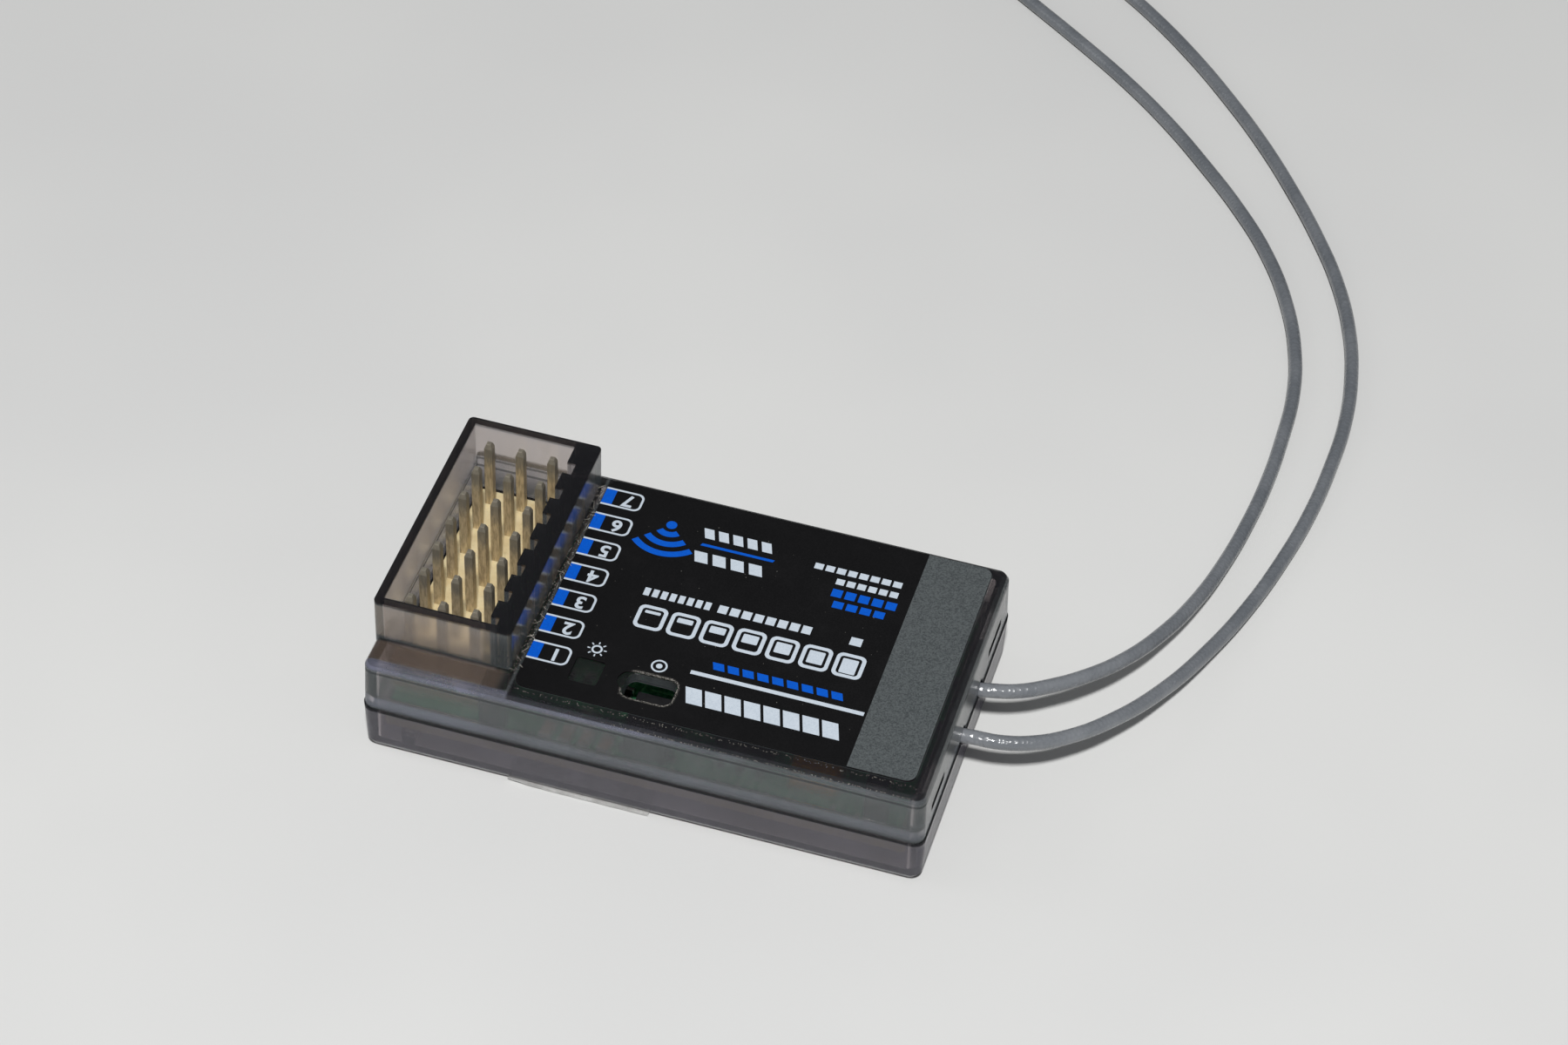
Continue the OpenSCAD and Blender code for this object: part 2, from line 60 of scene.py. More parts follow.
class Graph:
    """A node tree that is built by name, for a material or for Geometry Nodes."""

    def __init__(self, tree: bpy.types.NodeTree) -> None:
        """Takes over an empty tree."""
        self.tree = tree
        tree.nodes.clear()

    def node(self, kind: str, settings: dict | None = None, inputs: dict | None = None) -> bpy.types.Node:
        """Adds one node.

        Args:
            kind: the node's type name.
            settings: properties that are set first; "stops" holds a colour ramp's stops.
            inputs: socket name or number, and its value or the wire into it.

        Returns:
            The new node.
        """
        made = self.tree.nodes.new(kind)
        for name, value in (settings or {}).items():
            if name == "stops":
                self._set_stops(made.color_ramp, value)
            else:
                setattr(made, name, value)
        for name, value in (inputs or {}).items():
            if isinstance(value, Wire):
                self.tree.links.new(value.socket, made.inputs[name])
            else:
                made.inputs[name].default_value = value
        return made

    def wire(self, kind: str, settings: dict | None = None, inputs: dict | None = None,
             output: int | str = 0) -> "Wire":
        """Adds one node and returns the wire out of one of its sockets."""
        return Wire(self, self.node(kind, settings, inputs).outputs[output])

    @staticmethod
    def _set_stops(ramp: bpy.types.ColorRamp, stops: Sequence[tuple[float, Colour]]) -> None:
        """Gives a colour ramp its stops, as places and colours."""
        while len(ramp.elements) < len(stops):
            ramp.elements.new(1.0)
        for element, (place, colour) in zip(ramp.elements, stops):
            element.position = place
            element.color = (*colour, 1.0)


class Wire:
    """A node's output that takes part in Python arithmetic, adding Math nodes as it goes."""

    def __init__(self, graph: Graph, socket: bpy.types.NodeSocket) -> None:
        """Holds the graph and the output socket."""
        self.graph = graph
        self.socket = socket

    def math(self, operation: str, *others: Union["Wire", float], clamp: bool = False) -> "Wire":
        """Adds a Math node with this wire first."""
        inputs = dict(enumerate((self, *others)))
        return self.graph.wire("ShaderNodeMath", {"operation": operation, "use_clamp": clamp}, inputs)

    def _reflected(self, operation: str, first: float) -> "Wire":
        """Adds a Math node with a number first and this wire second."""
        return self.graph.wire("ShaderNodeMath", {"operation": operation}, {0: first, 1: self})

    def __add__(self, other: Union["Wire", float]) -> "Wire":
        """Sum."""
        return self.math("ADD", other)

    def __radd__(self, other: float) -> "Wire":
        """Sum with a number first."""
        return self._reflected("ADD", other)

    def __sub__(self, other: Union["Wire", float]) -> "Wire":
        """Difference."""
        return self.math("SUBTRACT", other)

    def __rsub__(self, other: float) -> "Wire":
        """A number less this."""
        return self._reflected("SUBTRACT", other)

    def __mul__(self, other: Union["Wire", float]) -> "Wire":
        """Product."""
        return self.math("MULTIPLY", other)

    def __rmul__(self, other: float) -> "Wire":
        """Product with a number first."""
        return self._reflected("MULTIPLY", other)

    def __truediv__(self, other: Union["Wire", float]) -> "Wire":
        """Quotient."""
        return self.math("DIVIDE", other)

    def __rtruediv__(self, other: float) -> "Wire":
        """A number over this."""
        return self._reflected("DIVIDE", other)

    def __pow__(self, other: float) -> "Wire":
        """Power."""
        return self.math("POWER", other)

    def __neg__(self) -> "Wire":
        """This with its sign turned."""
        return self._reflected("SUBTRACT", 0.0)

    def __abs__(self) -> "Wire":
        """Distance from zero."""
        return self.math("ABSOLUTE")

    def smaller(self, other: Union["Wire", float]) -> "Wire":
        """The smaller of two values."""
        return self.math("MINIMUM", other)

    def larger(self, other: Union["Wire", float]) -> "Wire":
        """The larger of two values."""
        return self.math("MAXIMUM", other)

    def step(self, low: float, high: float, start: float = 0.0, end: float = 1.0) -> "Wire":
        """Smooth change from start to end while this goes from low to high."""
        settings = {"interpolation_type": "SMOOTHSTEP"}
        inputs = {"Value": self, "From Min": low, "From Max": high, "To Min": start, "To Max": end}
        return self.graph.wire("ShaderNodeMapRange", settings, inputs)

    def inside(self, low: float, high: float, soft: float) -> "Wire":
        """Mask that is one between two values, with soft ends."""
        return self.step(low - soft, low + soft) * self.step(high - soft, high + soft, 1.0, 0.0)


class GrowthTree(Graph):
    """A Geometry Nodes tree with named inputs, whose result becomes a plain mesh."""

    def __init__(self, name: str, sizes: dict[str, float | int]) -> None:
        """Makes an empty tree with one input for each size; whole numbers make whole-number inputs."""
        self.name = name
        self.sizes = sizes
        tree = bpy.data.node_groups.new(name, "GeometryNodeTree")
        super().__init__(tree)
        tree.interface.new_socket("Geometry", in_out="OUTPUT", socket_type="NodeSocketGeometry")
        self.keys = {}
        for label, value in sizes.items():
            kind = "NodeSocketInt" if isinstance(value, int) else "NodeSocketFloat"
            socket = tree.interface.new_socket(label, in_out="INPUT", socket_type=kind)
            self.keys[label] = socket.identifier
        self.entry = self.node("NodeGroupInput")

    def given(self, label: str) -> Wire:
        """The wire out of a named input."""
        return Wire(self, self.entry.outputs[label])

    def vector(self, x: Union[Wire, float] = 0.0, y: Union[Wire, float] = 0.0,
               z: Union[Wire, float] = 0.0) -> Wire:
        """Joins three values to a vector."""
        return self.wire("ShaderNodeCombineXYZ", inputs={0: x, 1: y, 2: z})

    def random(self, low: Point3, high: Point3, seed: Wire) -> Wire:
        """A random vector for each instance between two corners."""
        return self.wire("FunctionNodeRandomValue", {"data_type": "FLOAT_VECTOR"},
                         {0: low, 1: high, "Seed": seed})

    def mesh(self, geometry: Wire, material: bpy.types.Material) -> bpy.types.Mesh:
        """Ends the tree and turns its result into a plain mesh.

        Args:
            geometry: what the tree has made.
            material: finish of all of it.

        Returns:
            The plain mesh, with no instance left in it.
        """
        whole = self.wire("GeometryNodeRealizeInstances", inputs={0: geometry})
        dressed = self.wire("GeometryNodeSetMaterial", inputs={"Geometry": whole, "Material": material})
        self.node("NodeGroupOutput", inputs={0: dressed})
        host = bpy.data.objects.new(self.name, bpy.data.meshes.new(self.name))
        bpy.context.scene.collection.objects.link(host)
        growth = host.modifiers.new("growth", "NODES")
        growth.node_group = self.tree
        for label, value in self.sizes.items():
            growth[self.keys[label]] = value
        bpy.context.view_layer.update()
        grown = bpy.data.meshes.new_from_object(host.evaluated_get(bpy.context.evaluated_depsgraph_get()))
        bpy.data.objects.remove(host)
        return grown


class Surface(Graph):
    """A material's graph, with patterns measured in millimetres on the object."""

    def __init__(self, name: str) -> None:
        """Makes an empty material."""
        self.material = bpy.data.materials.new(name)
        self.material.use_nodes = True
        super().__init__(self.material.node_tree)
        place = self.wire("ShaderNodeTexCoord", output="Object")
        self.place = self.wire("ShaderNodeVectorMath", {"operation": "SCALE"}, {0: place, "Scale": 1 / MM})
        split = self.node("ShaderNodeSeparateXYZ", inputs={0: self.place})
        self.x, self.y, self.z = (Wire(self, socket) for socket in split.outputs)

    def noise(self, size: float, detail: float = 2.0, rough: float = 0.5, stretch: Point3 = (1, 1, 1)) -> Wire:
        """Soft noise from about 0 to 1 whose blobs are about size millimetres."""
        scaled = self.wire("ShaderNodeVectorMath", {"operation": "MULTIPLY"},
                           {0: self.place, 1: tuple(s / size for s in stretch)})
        return self.wire("ShaderNodeTexNoise", {}, {"Vector": scaled, "Scale": 1.0, "Detail": detail,
                                                    "Roughness": rough})

    def cells(self, size: float, kind: str = "F1") -> Wire:
        """Distance to the nearest cell point, for specks about size millimetres apart."""
        return self.wire("ShaderNodeTexVoronoi", {"feature": kind},
                         {"Vector": self.place, "Scale": 1 / size})

    def box_distance(self, centre: Point2, half: Point2, radius: float) -> Wire:
        """Distance in the XY plane outside a box with round corners, in millimetres, below zero inside it."""
        across = (abs(self.x - centre[0]) - (half[0] - radius)).larger(0.0)
        upward = (abs(self.y - centre[1]) - (half[1] - radius)).larger(0.0)
        return (across * across + upward * upward) ** 0.5 - radius

    def mix(self, share: Union[Wire, float], first: Union[Wire, Colour], second: Union[Wire, Colour],
            blend: str = "MIX") -> Wire:
        """Mixes two colours."""
        def value(colour: Union[Wire, Colour]) -> Union[Wire, tuple[float, float, float, float]]:
            """A colour as the socket takes it."""
            return colour if isinstance(colour, Wire) else (*colour, 1.0)
        made = self.node("ShaderNodeMix", {"data_type": "RGBA", "blend_type": blend},
                         {0: share, 6: value(first), 7: value(second)})
        return Wire(self, made.outputs[2])

    def facing_up(self) -> Wire:
        """The upward share of the surface's direction, from -1 to 1."""
        normal = self.wire("ShaderNodeNewGeometry", output="Normal")
        return Wire(self, self.node("ShaderNodeSeparateXYZ", inputs={0: normal}).outputs[2])

    def bump(self, height: Wire, depth: float, strength: float = 1.0, rounding: float = 0.0) -> Wire:
        """Bump whose full height is depth millimetres, over edges rounded by so many millimetres."""
        inputs = {"Height": height, "Distance": depth * MM, "Strength": strength}
        if rounding:
            inputs["Normal"] = self.rounded(rounding)
        return self.wire("ShaderNodeBump", {}, inputs)

    def rounded(self, radius: float) -> Wire:
        """Normal that softens the edges as if they had this radius in millimetres."""
        return self.wire("ShaderNodeBevel", {"samples": 4}, {"Radius": radius * MM})

    def principled(self, inputs: dict) -> Wire:
        """Adds a Principled shader; a plain colour may stand for a colour input."""
        full = {name: (*value, 1.0) if name.endswith("Color") and isinstance(value, tuple) else value
                for name, value in inputs.items()}
        return self.wire("ShaderNodeBsdfPrincipled", inputs=full)

    def finish(self, shader: Wire, absorb: tuple[Colour, float] | None = None) -> bpy.types.Material:
        """Ends the graph.

        Args:
            shader: the surface's shader.
            absorb: colour and density of the volume inside, if light is lost in it.

        Returns:
            The finished material.
        """
        inputs = {"Surface": shader}
        if absorb:
            inputs["Volume"] = self.wire("ShaderNodeVolumeAbsorption",
                                         inputs={"Color": (*absorb[0], 1.0), "Density": absorb[1]})
        self.node("ShaderNodeOutputMaterial", inputs=inputs)
        return self.material


@dataclass(frozen=True)
class Moulded:
    """Moulded plastic with a fine grain, uneven gloss and rounded edges."""

    name: str
    colour: Colour
    shade: Colour
    roughness: float = 0.45
    grain: float = 0.12
    depth: float = 0.004
    rounding: float = 0.08
    coat: float = 0.0
    glow: float = 0.0

    def material(self) -> bpy.types.Material:
        """Builds the material."""
        surface = Surface(self.name)
        cloud = surface.noise(1.6, 3)
        grain = surface.noise(self.grain, 2)
        dirt = surface.noise(0.35, 3).step(0.52, 0.8)
        colour = surface.mix(cloud.step(0.3, 0.75), self.colour, self.shade)
        colour = surface.mix(dirt * 0.35, colour, tuple(c * 0.55 for c in self.shade))
        inputs = {
            "Base Color": colour,
            "Roughness": cloud * 0.16 + grain * 0.1 + (self.roughness - 0.13),
            "Normal": surface.bump(grain, self.depth, 1.0, self.rounding),
            "Coat Weight": self.coat,
        }
        if self.glow:
            inputs |= {"Subsurface Weight": self.glow, "Subsurface Radius": (0.6 * MM, 0.45 * MM, 0.3 * MM),
                       "Subsurface Scale": 1.0}
        return surface.finish(surface.principled(inputs))


@dataclass(frozen=True)
class Metal:
    """Bare or plated metal with tarnish, fine scratches and rounded edges."""

    name: str
    colour: Colour
    tarnish: Colour
    roughness: float = 0.3
    spread: float = 0.5
    patch: float = 0.9
    stretch: Point3 = (1, 1, 1)
    rounding: float = 0.06

    def material(self) -> bpy.types.Material:
        """Builds the material."""
        surface = Surface(self.name)
        patches = surface.noise(self.patch, 4, 0.6, self.stretch)
        fine = surface.noise(0.07, 2, 0.5, self.stretch)
        worn = patches.step(0.62 - self.spread * 0.4, 0.78)
        return surface.finish(surface.principled({
            "Base Color": surface.mix(worn, self.colour, self.tarnish),
            "Metallic": 1.0 - worn * 0.35,
            "Roughness": worn * 0.22 + fine * 0.12 + (self.roughness - 0.06),
            "Normal": surface.bump(fine, 0.003, 0.7, self.rounding),
        }))


@dataclass(frozen=True)
class PinPlating:
    """Dull tan-gold plating of the contact pins, greyer towards the tips."""

    name: str = "pin_plating"
    gold: Colour = srgb(204, 187, 152)
    brown: Colour = srgb(164, 147, 118)
    tip_grey: Colour = srgb(126, 124, 116)
    tip_level: float = 9.9

    def material(self) -> bpy.types.Material:
        """Builds the material."""
        surface = Surface(self.name)
        streak = surface.noise(0.5, 3, 0.6, (3, 3, 0.6))
        fine = surface.noise(0.06, 2)
        # Greyer towards the tips, broken up by the streaks.
        tone_band = (surface.z + streak * 1.4).step(self.tip_level, self.tip_level + 1.9)
        colour = surface.mix(streak.step(0.35, 0.7), self.gold, self.brown)
        colour = surface.mix(tone_band * 0.8, colour, self.tip_grey)
        return surface.finish(surface.principled({
            "Base Color": colour,
            "Metallic": 0.5 + fine * 0.1,
            "Roughness": 0.36 + streak * 0.14 + fine * 0.1,
            "Normal": surface.bump(fine + streak, 0.006, 0.8, 0.08),
        }))


@dataclass(frozen=True)
class SmokedClear:
    """Smoke-grey clear plastic: light where it is thin, near black where light has far to go in it.

    The upright sides have a fine matt grain that looks milky and the top is polished. The front top edge
    is rougher and carries a painted pale highlight band. Painted shade darkens the parting line, a line
    under the rounded top edge, the top's border round the label, the top of the well's rim and the foot
    of the aerial end wall. Painted brown shade covers the shoulder and the lower well front, and painted
    light brightens a band above the parting line and the well's walls.
    """

    name: str
    tint: Colour = srgb(236, 231, 231)
    depth_colour: Colour = (0.42, 0.37, 0.38)
    haze_colour: Colour = srgb(152, 161, 163)
    lower_colour: Colour = srgb(158, 155, 168)
    rim_light_colour: Colour = srgb(160, 167, 182)
    shade_colour: Colour = srgb(34, 34, 38)
    well_light_colour: Colour = srgb(222, 211, 198)
    label_centre: Point2 = (4.96, 0.5)
    label_half: Point2 = (15.19, 11.25)
    edge_sheen_colour: Colour = srgb(150, 152, 176)
    base_shade_colour: Colour = srgb(168, 148, 134)
    density: float = 610.0
    ior: float = 1.49
    roughness: float = 0.08
    rounding: float = 0.14
    side_haze: float = 0.165
    top_haze: float = 0.012
    edge_sheen_haze: float = 0.22
    base_shade_haze: float = 0.12
    rim_light_haze: float = 0.055
    well_light_haze: float = 0.05
    line_shade_share: float = 0.62
    border_shade_share: float = 0.42
    end_shade_share: float = 0.3

    def material(self) -> bpy.types.Material:
        """Builds the material."""
        surface = Surface(self.name)
        cloud = surface.noise(2.2, 4, 0.6)
        fine = surface.noise(0.14, 3, 0.6)
        grain = surface.noise(0.05, 2, 0.6)
        scratch = surface.noise(0.3, 4, 0.7, (0.25, 3.0, 1.0)).step(0.6, 0.74)
        top = abs(surface.facing_up()).step(0.55, 0.95)
        # Pale band painted along the front top edge as a highlight; the edge is also made rougher there.
        tone_band = surface.y.inside(-12.6, -11.5, 0.12) * surface.z.step(8.15, 8.5) * (
            surface.x.step(-2.0, 9.0, 1.0, 0.2) * cloud.step(0.2, 0.75, 0.6, 1.0))
        # Painted brown shade on the shoulder and the lower well front, standing for the shaded header base seen through
        # them.
        base_shade = surface.x.step(-11.6, -10.6, 1.0, 0.0) * surface.y.inside(-11.5, -9.6, 0.15) * (
            surface.z.inside(8.5, 10.35, 0.12))
        upright = 1 - top
        # Painted shade: a dark line at the parting line, where the lip shades the joint, and a dark line under the
        # rounded top edge.
        lines = upright * (surface.z.inside(4.06, 4.42, 0.04) + surface.z.inside(7.96, 8.2, 0.05) * 0.85)
        # Painted light on a band of the upper shell above the parting line, stronger on the left.
        rim = upright * surface.z.inside(4.6, 5.5, 0.25) * surface.x.step(-17.0, -8.0, 1.7, 0.7)
        outside = surface.box_distance(self.label_centre, self.label_half, 0.9).step(-0.1, 0.1)
        # Painted shade on the top's border round the label.
        border_shade = top * surface.z.inside(8.55, 8.95, 0.05) * surface.x.step(-10.6, -10.2) * outside
        # Painted light that brightens the well's walls.
        well = upright * surface.z.inside(9.07, 12.1, 0.12) * surface.x.step(-13.1, -12.9, 1.0, 0.0)
        # Painted shade on the top of the well's rim.
        mouth_shade = surface.z.step(12.12, 12.25)
        # Painted shade at the foot of the aerial end wall.
        end = surface.x.step(21.0, 21.25) * surface.z.step(3.4, 4.0, 1.0, 0.0)
        specks = surface.cells(0.2).step(0.02, 0.1, 1.0, 0.0) * surface.noise(1.1, 3).step(0.5, 0.66)
        dusty = specks * (top * 0.8 + 0.15)
        clear = surface.principled({
            "Base Color": self.tint,
            "Transmission Weight": 1.0,
            "IOR": self.ior,
            "Roughness": cloud * 0.06 + scratch * 0.08 + tone_band * 0.2 + (self.roughness - 0.03) + fine * 0.05,
            "Normal": surface.bump(fine + grain * 0.5 + scratch * 0.4 + specks * 0.5, 0.007, 1.0, self.rounding),
        })
        # Colour of the milky layer: painted light on the rim band and the well's walls, the painted highlight band of
        # the front edge and painted brown shade.
        pale = surface.mix(surface.z.step(4.0, 4.4, 1.0, 0.0), self.haze_colour, self.lower_colour)
        pale = surface.mix(rim, pale, self.rim_light_colour)
        pale = surface.mix(well, pale, self.well_light_colour)
        pale = surface.mix(tone_band, pale, self.edge_sheen_colour)
        pale = surface.mix(base_shade, pale, self.base_shade_colour)
        # Painted shade of the dark lines, the top's border, the well's rim top and the end wall's foot.
        dark = (lines + border_shade + mouth_shade + end * 0.6).smaller(1.0)
        pale = surface.mix(dark, pale, self.shade_colour)
        milky = surface.wire("ShaderNodeBsdfDiffuse", inputs={
            "Color": surface.mix(dusty, pale, srgb(232, 229, 222)),
            "Normal": surface.bump(fine, 0.01, 1.0),
        })
        even = top * (self.top_haze - self.side_haze) + self.side_haze
        share = even * (cloud.step(0.3, 0.8, 0.8, 1.15) + (grain - 0.5) * 0.5) + tone_band * self.edge_sheen_haze
        share = share + dusty * 0.6 + base_shade * self.base_shade_haze + rim * self.rim_light_haze + well * self.well_light_haze
        share = share + lines * self.line_shade_share + (border_shade + mouth_shade * 0.8) * self.border_shade_share
        share = share + end * self.end_shade_share
        mixed = surface.wire("ShaderNodeMixShader", inputs={0: share.smaller(0.95), 1: clear, 2: milky})
        return surface.finish(mixed, absorb=(self.depth_colour, self.density))


@dataclass(frozen=True)
class LabelFilm:
    """Black printed film: a faint weave of print dots, soft handling marks and a few specks of dust.

    A broken pale band runs round the edge of the switch slot.
    """

    name: str = "label_film"
    black: Colour = srgb(8, 8, 9)
    worn: Colour = srgb(27, 26, 28)
    slot_centre: Point2 = (-0.65, -8.05)
    slot_half: Point2 = (1.95, 1.33)
    slot_radius: float = 0.78

    def material(self) -> bpy.types.Material:
        """Builds the material."""
        surface = Surface(self.name)
        dots = surface.cells(0.11)
        marks = surface.noise(2.6, 5, 0.65)
        specks = surface.cells(0.5).step(0.03, 0.085, 1.0, 0.0) * surface.noise(1.1, 2).step(0.52, 0.64)
        rim = surface.box_distance(self.slot_centre, self.slot_half, self.slot_radius)
        slot_edge_band = rim.step(0.02, 0.22, 1.0, 0.0) * surface.noise(0.09, 3, 0.7).step(0.46, 0.6)
        colour = surface.mix(dots.step(0.2, 0.7) * 0.18 + marks.step(0.5, 0.85) * 0.2, self.black, self.worn)
        colour = surface.mix((specks * 0.55 + slot_edge_band * 0.75).smaller(1.0), colour, srgb(176, 172, 164))
        return surface.finish(surface.principled({
            "Base Color": colour,
            "Roughness": marks * 0.24 + dots * 0.1 + 0.34,
            "Specular IOR Level": 0.2,
            "Normal": surface.bump(dots * 0.4 + marks + slot_edge_band, 0.008, 0.8, 0.05),
        }))


@dataclass(frozen=True)
class Ink:
    """Screen-printed ink: thin spots, a soft grain and a few chips."""

    name: str
    colour: Colour
    thin: Colour
    roughness: float = 0.5
    speckle: float = 0.45

    def material(self) -> bpy.types.Material:
        """Builds the material."""
        surface = Surface(self.name)
        grain = surface.noise(0.12, 3, 0.6)
        cloud = surface.noise(1.3, 3)
        chips = surface.noise(0.2, 4, 0.7).step(0.68, 0.76)
        colour = surface.mix(grain.step(0.35, 0.7) * self.speckle + cloud * 0.2, self.colour, self.thin)
        return surface.finish(surface.principled({
            "Base Color": surface.mix(chips * 0.7, colour, tuple(c * 0.35 for c in self.colour)),
            "Roughness": grain * 0.15 + (self.roughness - 0.07),
            "Specular IOR Level": 0.2,
            "Normal": surface.bump(grain, 0.004, 0.8),
        }))


@dataclass(frozen=True)
class SolderMask:
    """Green board: buried copper tracks under the mask, pale legend specks and bare tan edges."""

    name: str = "solder_mask"
    green: Colour = srgb(58, 148, 96)
    track: Colour = srgb(104, 184, 130)
    edge: Colour = srgb(150, 142, 88)
    top: float = 3.2

    def material(self) -> bpy.types.Material:
        """Builds the material."""
        surface = Surface(self.name)
        lanes_x = surface.wire("ShaderNodeTexWave", {"bands_direction": "X", "wave_profile": "SAW"},
                               {"Vector": surface.place, "Scale": 0.42, "Distortion": 2.2, "Detail": 1.0}, 1)
        lanes_y = surface.wire("ShaderNodeTexWave", {"bands_direction": "Y", "wave_profile": "SAW"},
                               {"Vector": surface.place, "Scale": 0.36, "Distortion": 1.6, "Detail": 1.0}, 1)
        zone = surface.noise(3.2, 1).step(0.47, 0.5)
        tracks = lanes_x.inside(0.35, 0.6, 0.03) * zone + lanes_y.inside(0.3, 0.52, 0.03) * (1 - zone)
        weave = surface.noise(0.25, 2)
        sides = surface.facing_up()
        rim = abs(sides).step(0.4, 0.6, 1.0, 0.0)
        colour = surface.mix(tracks * 0.8 + weave * 0.1, self.green, self.track)
        return surface.finish(surface.principled({
            "Base Color": surface.mix(rim, colour, self.edge),
            "Roughness": rim * 0.4 + weave * 0.12 + 0.22,
            "Normal": surface.bump(tracks + weave * 0.2, 0.03, 0.8),
        }))


@dataclass(frozen=True)
class Foil:
    """Silver foil label, creased and a little rubbed."""

    name: str = "under_foil"

    def material(self) -> bpy.types.Material:
        """Builds the material."""
        surface = Surface(self.name)
        crease = surface.noise(2.4, 5, 0.65)
        brushed = surface.noise(0.5, 3, 0.6, (0.15, 4, 1))
        return surface.finish(surface.principled({
            "Base Color": surface.mix(crease.step(0.35, 0.75), srgb(214, 214, 212), srgb(168, 167, 164)),
            "Metallic": 0.5 - crease * 0.2,
            "Roughness": brushed * 0.2 + crease * 0.12 + 0.3,
            "Normal": surface.bump(crease + brushed * 0.2, 0.03, 0.8),
        }))


@dataclass(frozen=True)
class CoaxJacket:
    """Grey fluoropolymer jacket: slightly waxy, braid's twist faintly showing, scuffed marks, painted shade down its
    run.
    """

    name: str = "coax_jacket"
    grey: Colour = srgb(122, 125, 129)
    dark: Colour = srgb(94, 98, 103)

    def material(self) -> bpy.types.Material:
        """Builds the material."""
        surface = Surface(self.name)
        cloud = surface.noise(4.0, 3)
        braid = surface.cells(0.3)
        nick = surface.noise(0.7, 4, 0.7).step(0.64, 0.76)
        # Painted shade: darker along Y, away from the key light.
        far = surface.y.step(4.0, 30.0, 0.0, 0.45)
        colour = surface.mix((cloud.step(0.3, 0.7) * 0.5 + braid * 0.2 + far).smaller(1.0), self.grey, self.dark)
        return surface.finish(surface.principled({
            "Base Color": surface.mix(nick * 0.3, colour, srgb(150, 154, 160)),
            "Roughness": cloud * 0.08 + braid * 0.08 + nick * 0.1 + 0.17,
            "Coat Weight": 0.3,
            "Normal": surface.bump(braid + nick * 0.4, 0.05, 1.0),
        }))


@dataclass(frozen=True)
class Backdrop:
    """Pale studio sheet with a faint mottle."""

    name: str = "studio_sheet"
    pale: Colour = srgb(214, 214, 212)
    grey: Colour = srgb(206, 206, 205)

    def material(self) -> bpy.types.Material:
        """Builds the material."""
        surface = Surface(self.name)
        mottle = surface.noise(60, 3)
        grain = surface.noise(0.6, 2)
        return surface.finish(surface.principled({
            "Base Color": surface.mix(mottle.step(0.3, 0.7) * 0.7 + grain * 0.1, self.pale, self.grey),
            "Roughness": 0.5 + grain * 0.08,
            "Specular IOR Level": 0.3,
            "Normal": surface.bump(grain, 0.01, 0.3),
        }))


class Body(Enum):
    """The CAD bodies that pieces ride on."""

    CASE = "receiver"
    BUTTON = "link_button_body"


class MeshMaker:
    """Collects closed solids in millimetres and turns them into one piece in metres."""

    def __init__(self, name: str) -> None:
        """Starts an empty mesh."""
        self.name = name
        self.shape = bmesh.new()

    def prism(self, outline: Sequence[Point2], low: float, high: float) -> "MeshMaker":
        """Adds an upright prism over a flat outline."""
        return self.ring(outline, [], low, high)

    def ring(self, outer: Sequence[Point2], inner: Sequence[Point2], low: float, high: float) -> "MeshMaker":
        """Adds an upright wall between two outlines with the same number of points, or a prism with none inside.

        Args:
            outer: outer outline, anticlockwise, in millimetres.
            inner: inner outline with as many points, or empty for a solid prism.
            low: lower level.
            high: upper level.

        Returns:
            This maker.
        """
        def loop(points: Sequence[Point2], level: float) -> list[bmesh.types.BMVert]:
            """One loop of points at a level."""
            return [self.shape.verts.new((x * MM, y * MM, level * MM)) for x, y in points]
        count = len(outer)
        below, above = loop(outer, low), loop(outer, high)
        for i in range(count):
            j = (i + 1) % count
            self.shape.faces.new((below[i], below[j], above[j], above[i]))
        if not inner:
            self.shape.faces.new(above)
            self.shape.faces.new(list(reversed(below)))
            return self
        inside_below, inside_above = loop(inner, low), loop(inner, high)
        for i in range(count):
            j = (i + 1) % count
            self.shape.faces.new((inside_below[j], inside_below[i], inside_above[i], inside_above[j]))
            self.shape.faces.new((above[i], above[j], inside_above[j], inside_above[i]))
            self.shape.faces.new((below[j], below[i], inside_below[i], inside_below[j]))
        return self

    def tube(self, rows: Sequence[Sequence[Point3]]) -> "MeshMaker":
        """Adds a closed skin over a row of loops that each run clockwise as seen from the first end."""
        loops = [[self.shape.verts.new(Vector(point) * MM) for point in row] for row in rows]
        for low, high in zip(loops, loops[1:]):
            for i in range(len(low)):
                j = (i + 1) % len(low)
                self.shape.faces.new((low[i], low[j], high[j], high[i]))
        self.shape.faces.new(list(reversed(loops[0])))
        self.shape.faces.new(loops[-1])
        bmesh.ops.recalc_face_normals(self.shape, faces=self.shape.faces)
        return self

    def box(self, centre: Point3, size: Point3) -> "MeshMaker":
        """Adds a box by its centre and size."""
        (x, y, z), (a, b, c) = centre, (s / 2 for s in size)
        return self.prism([(x - a, y - b), (x + a, y - b), (x + a, y + b), (x - a, y + b)], z - c, z + c)

    def piece(self, material: bpy.types.Material, body: Body = Body.CASE, slot: str | None = None,
              bevel: float = 0.0, segments: int = 2, smooth: bool = False) -> bpy.types.Object:
        """Ends the mesh as a piece that rides on a body.

        Args:
            material: finish of the whole piece.
            body: the CAD body that it moves with.
            slot: the record's material slot; not used.
            bevel: edge rounding in millimetres, or none.
            segments: steps of that rounding.
            smooth: smooth shading.

        Returns:
            The finished object.
        """
        mesh = bpy.data.meshes.new(self.name)
        self.shape.normal_update()
        self.shape.to_mesh(mesh)
        self.shape.free()
        return finish_piece(mesh, self.name, material, body, bevel, segments, smooth)


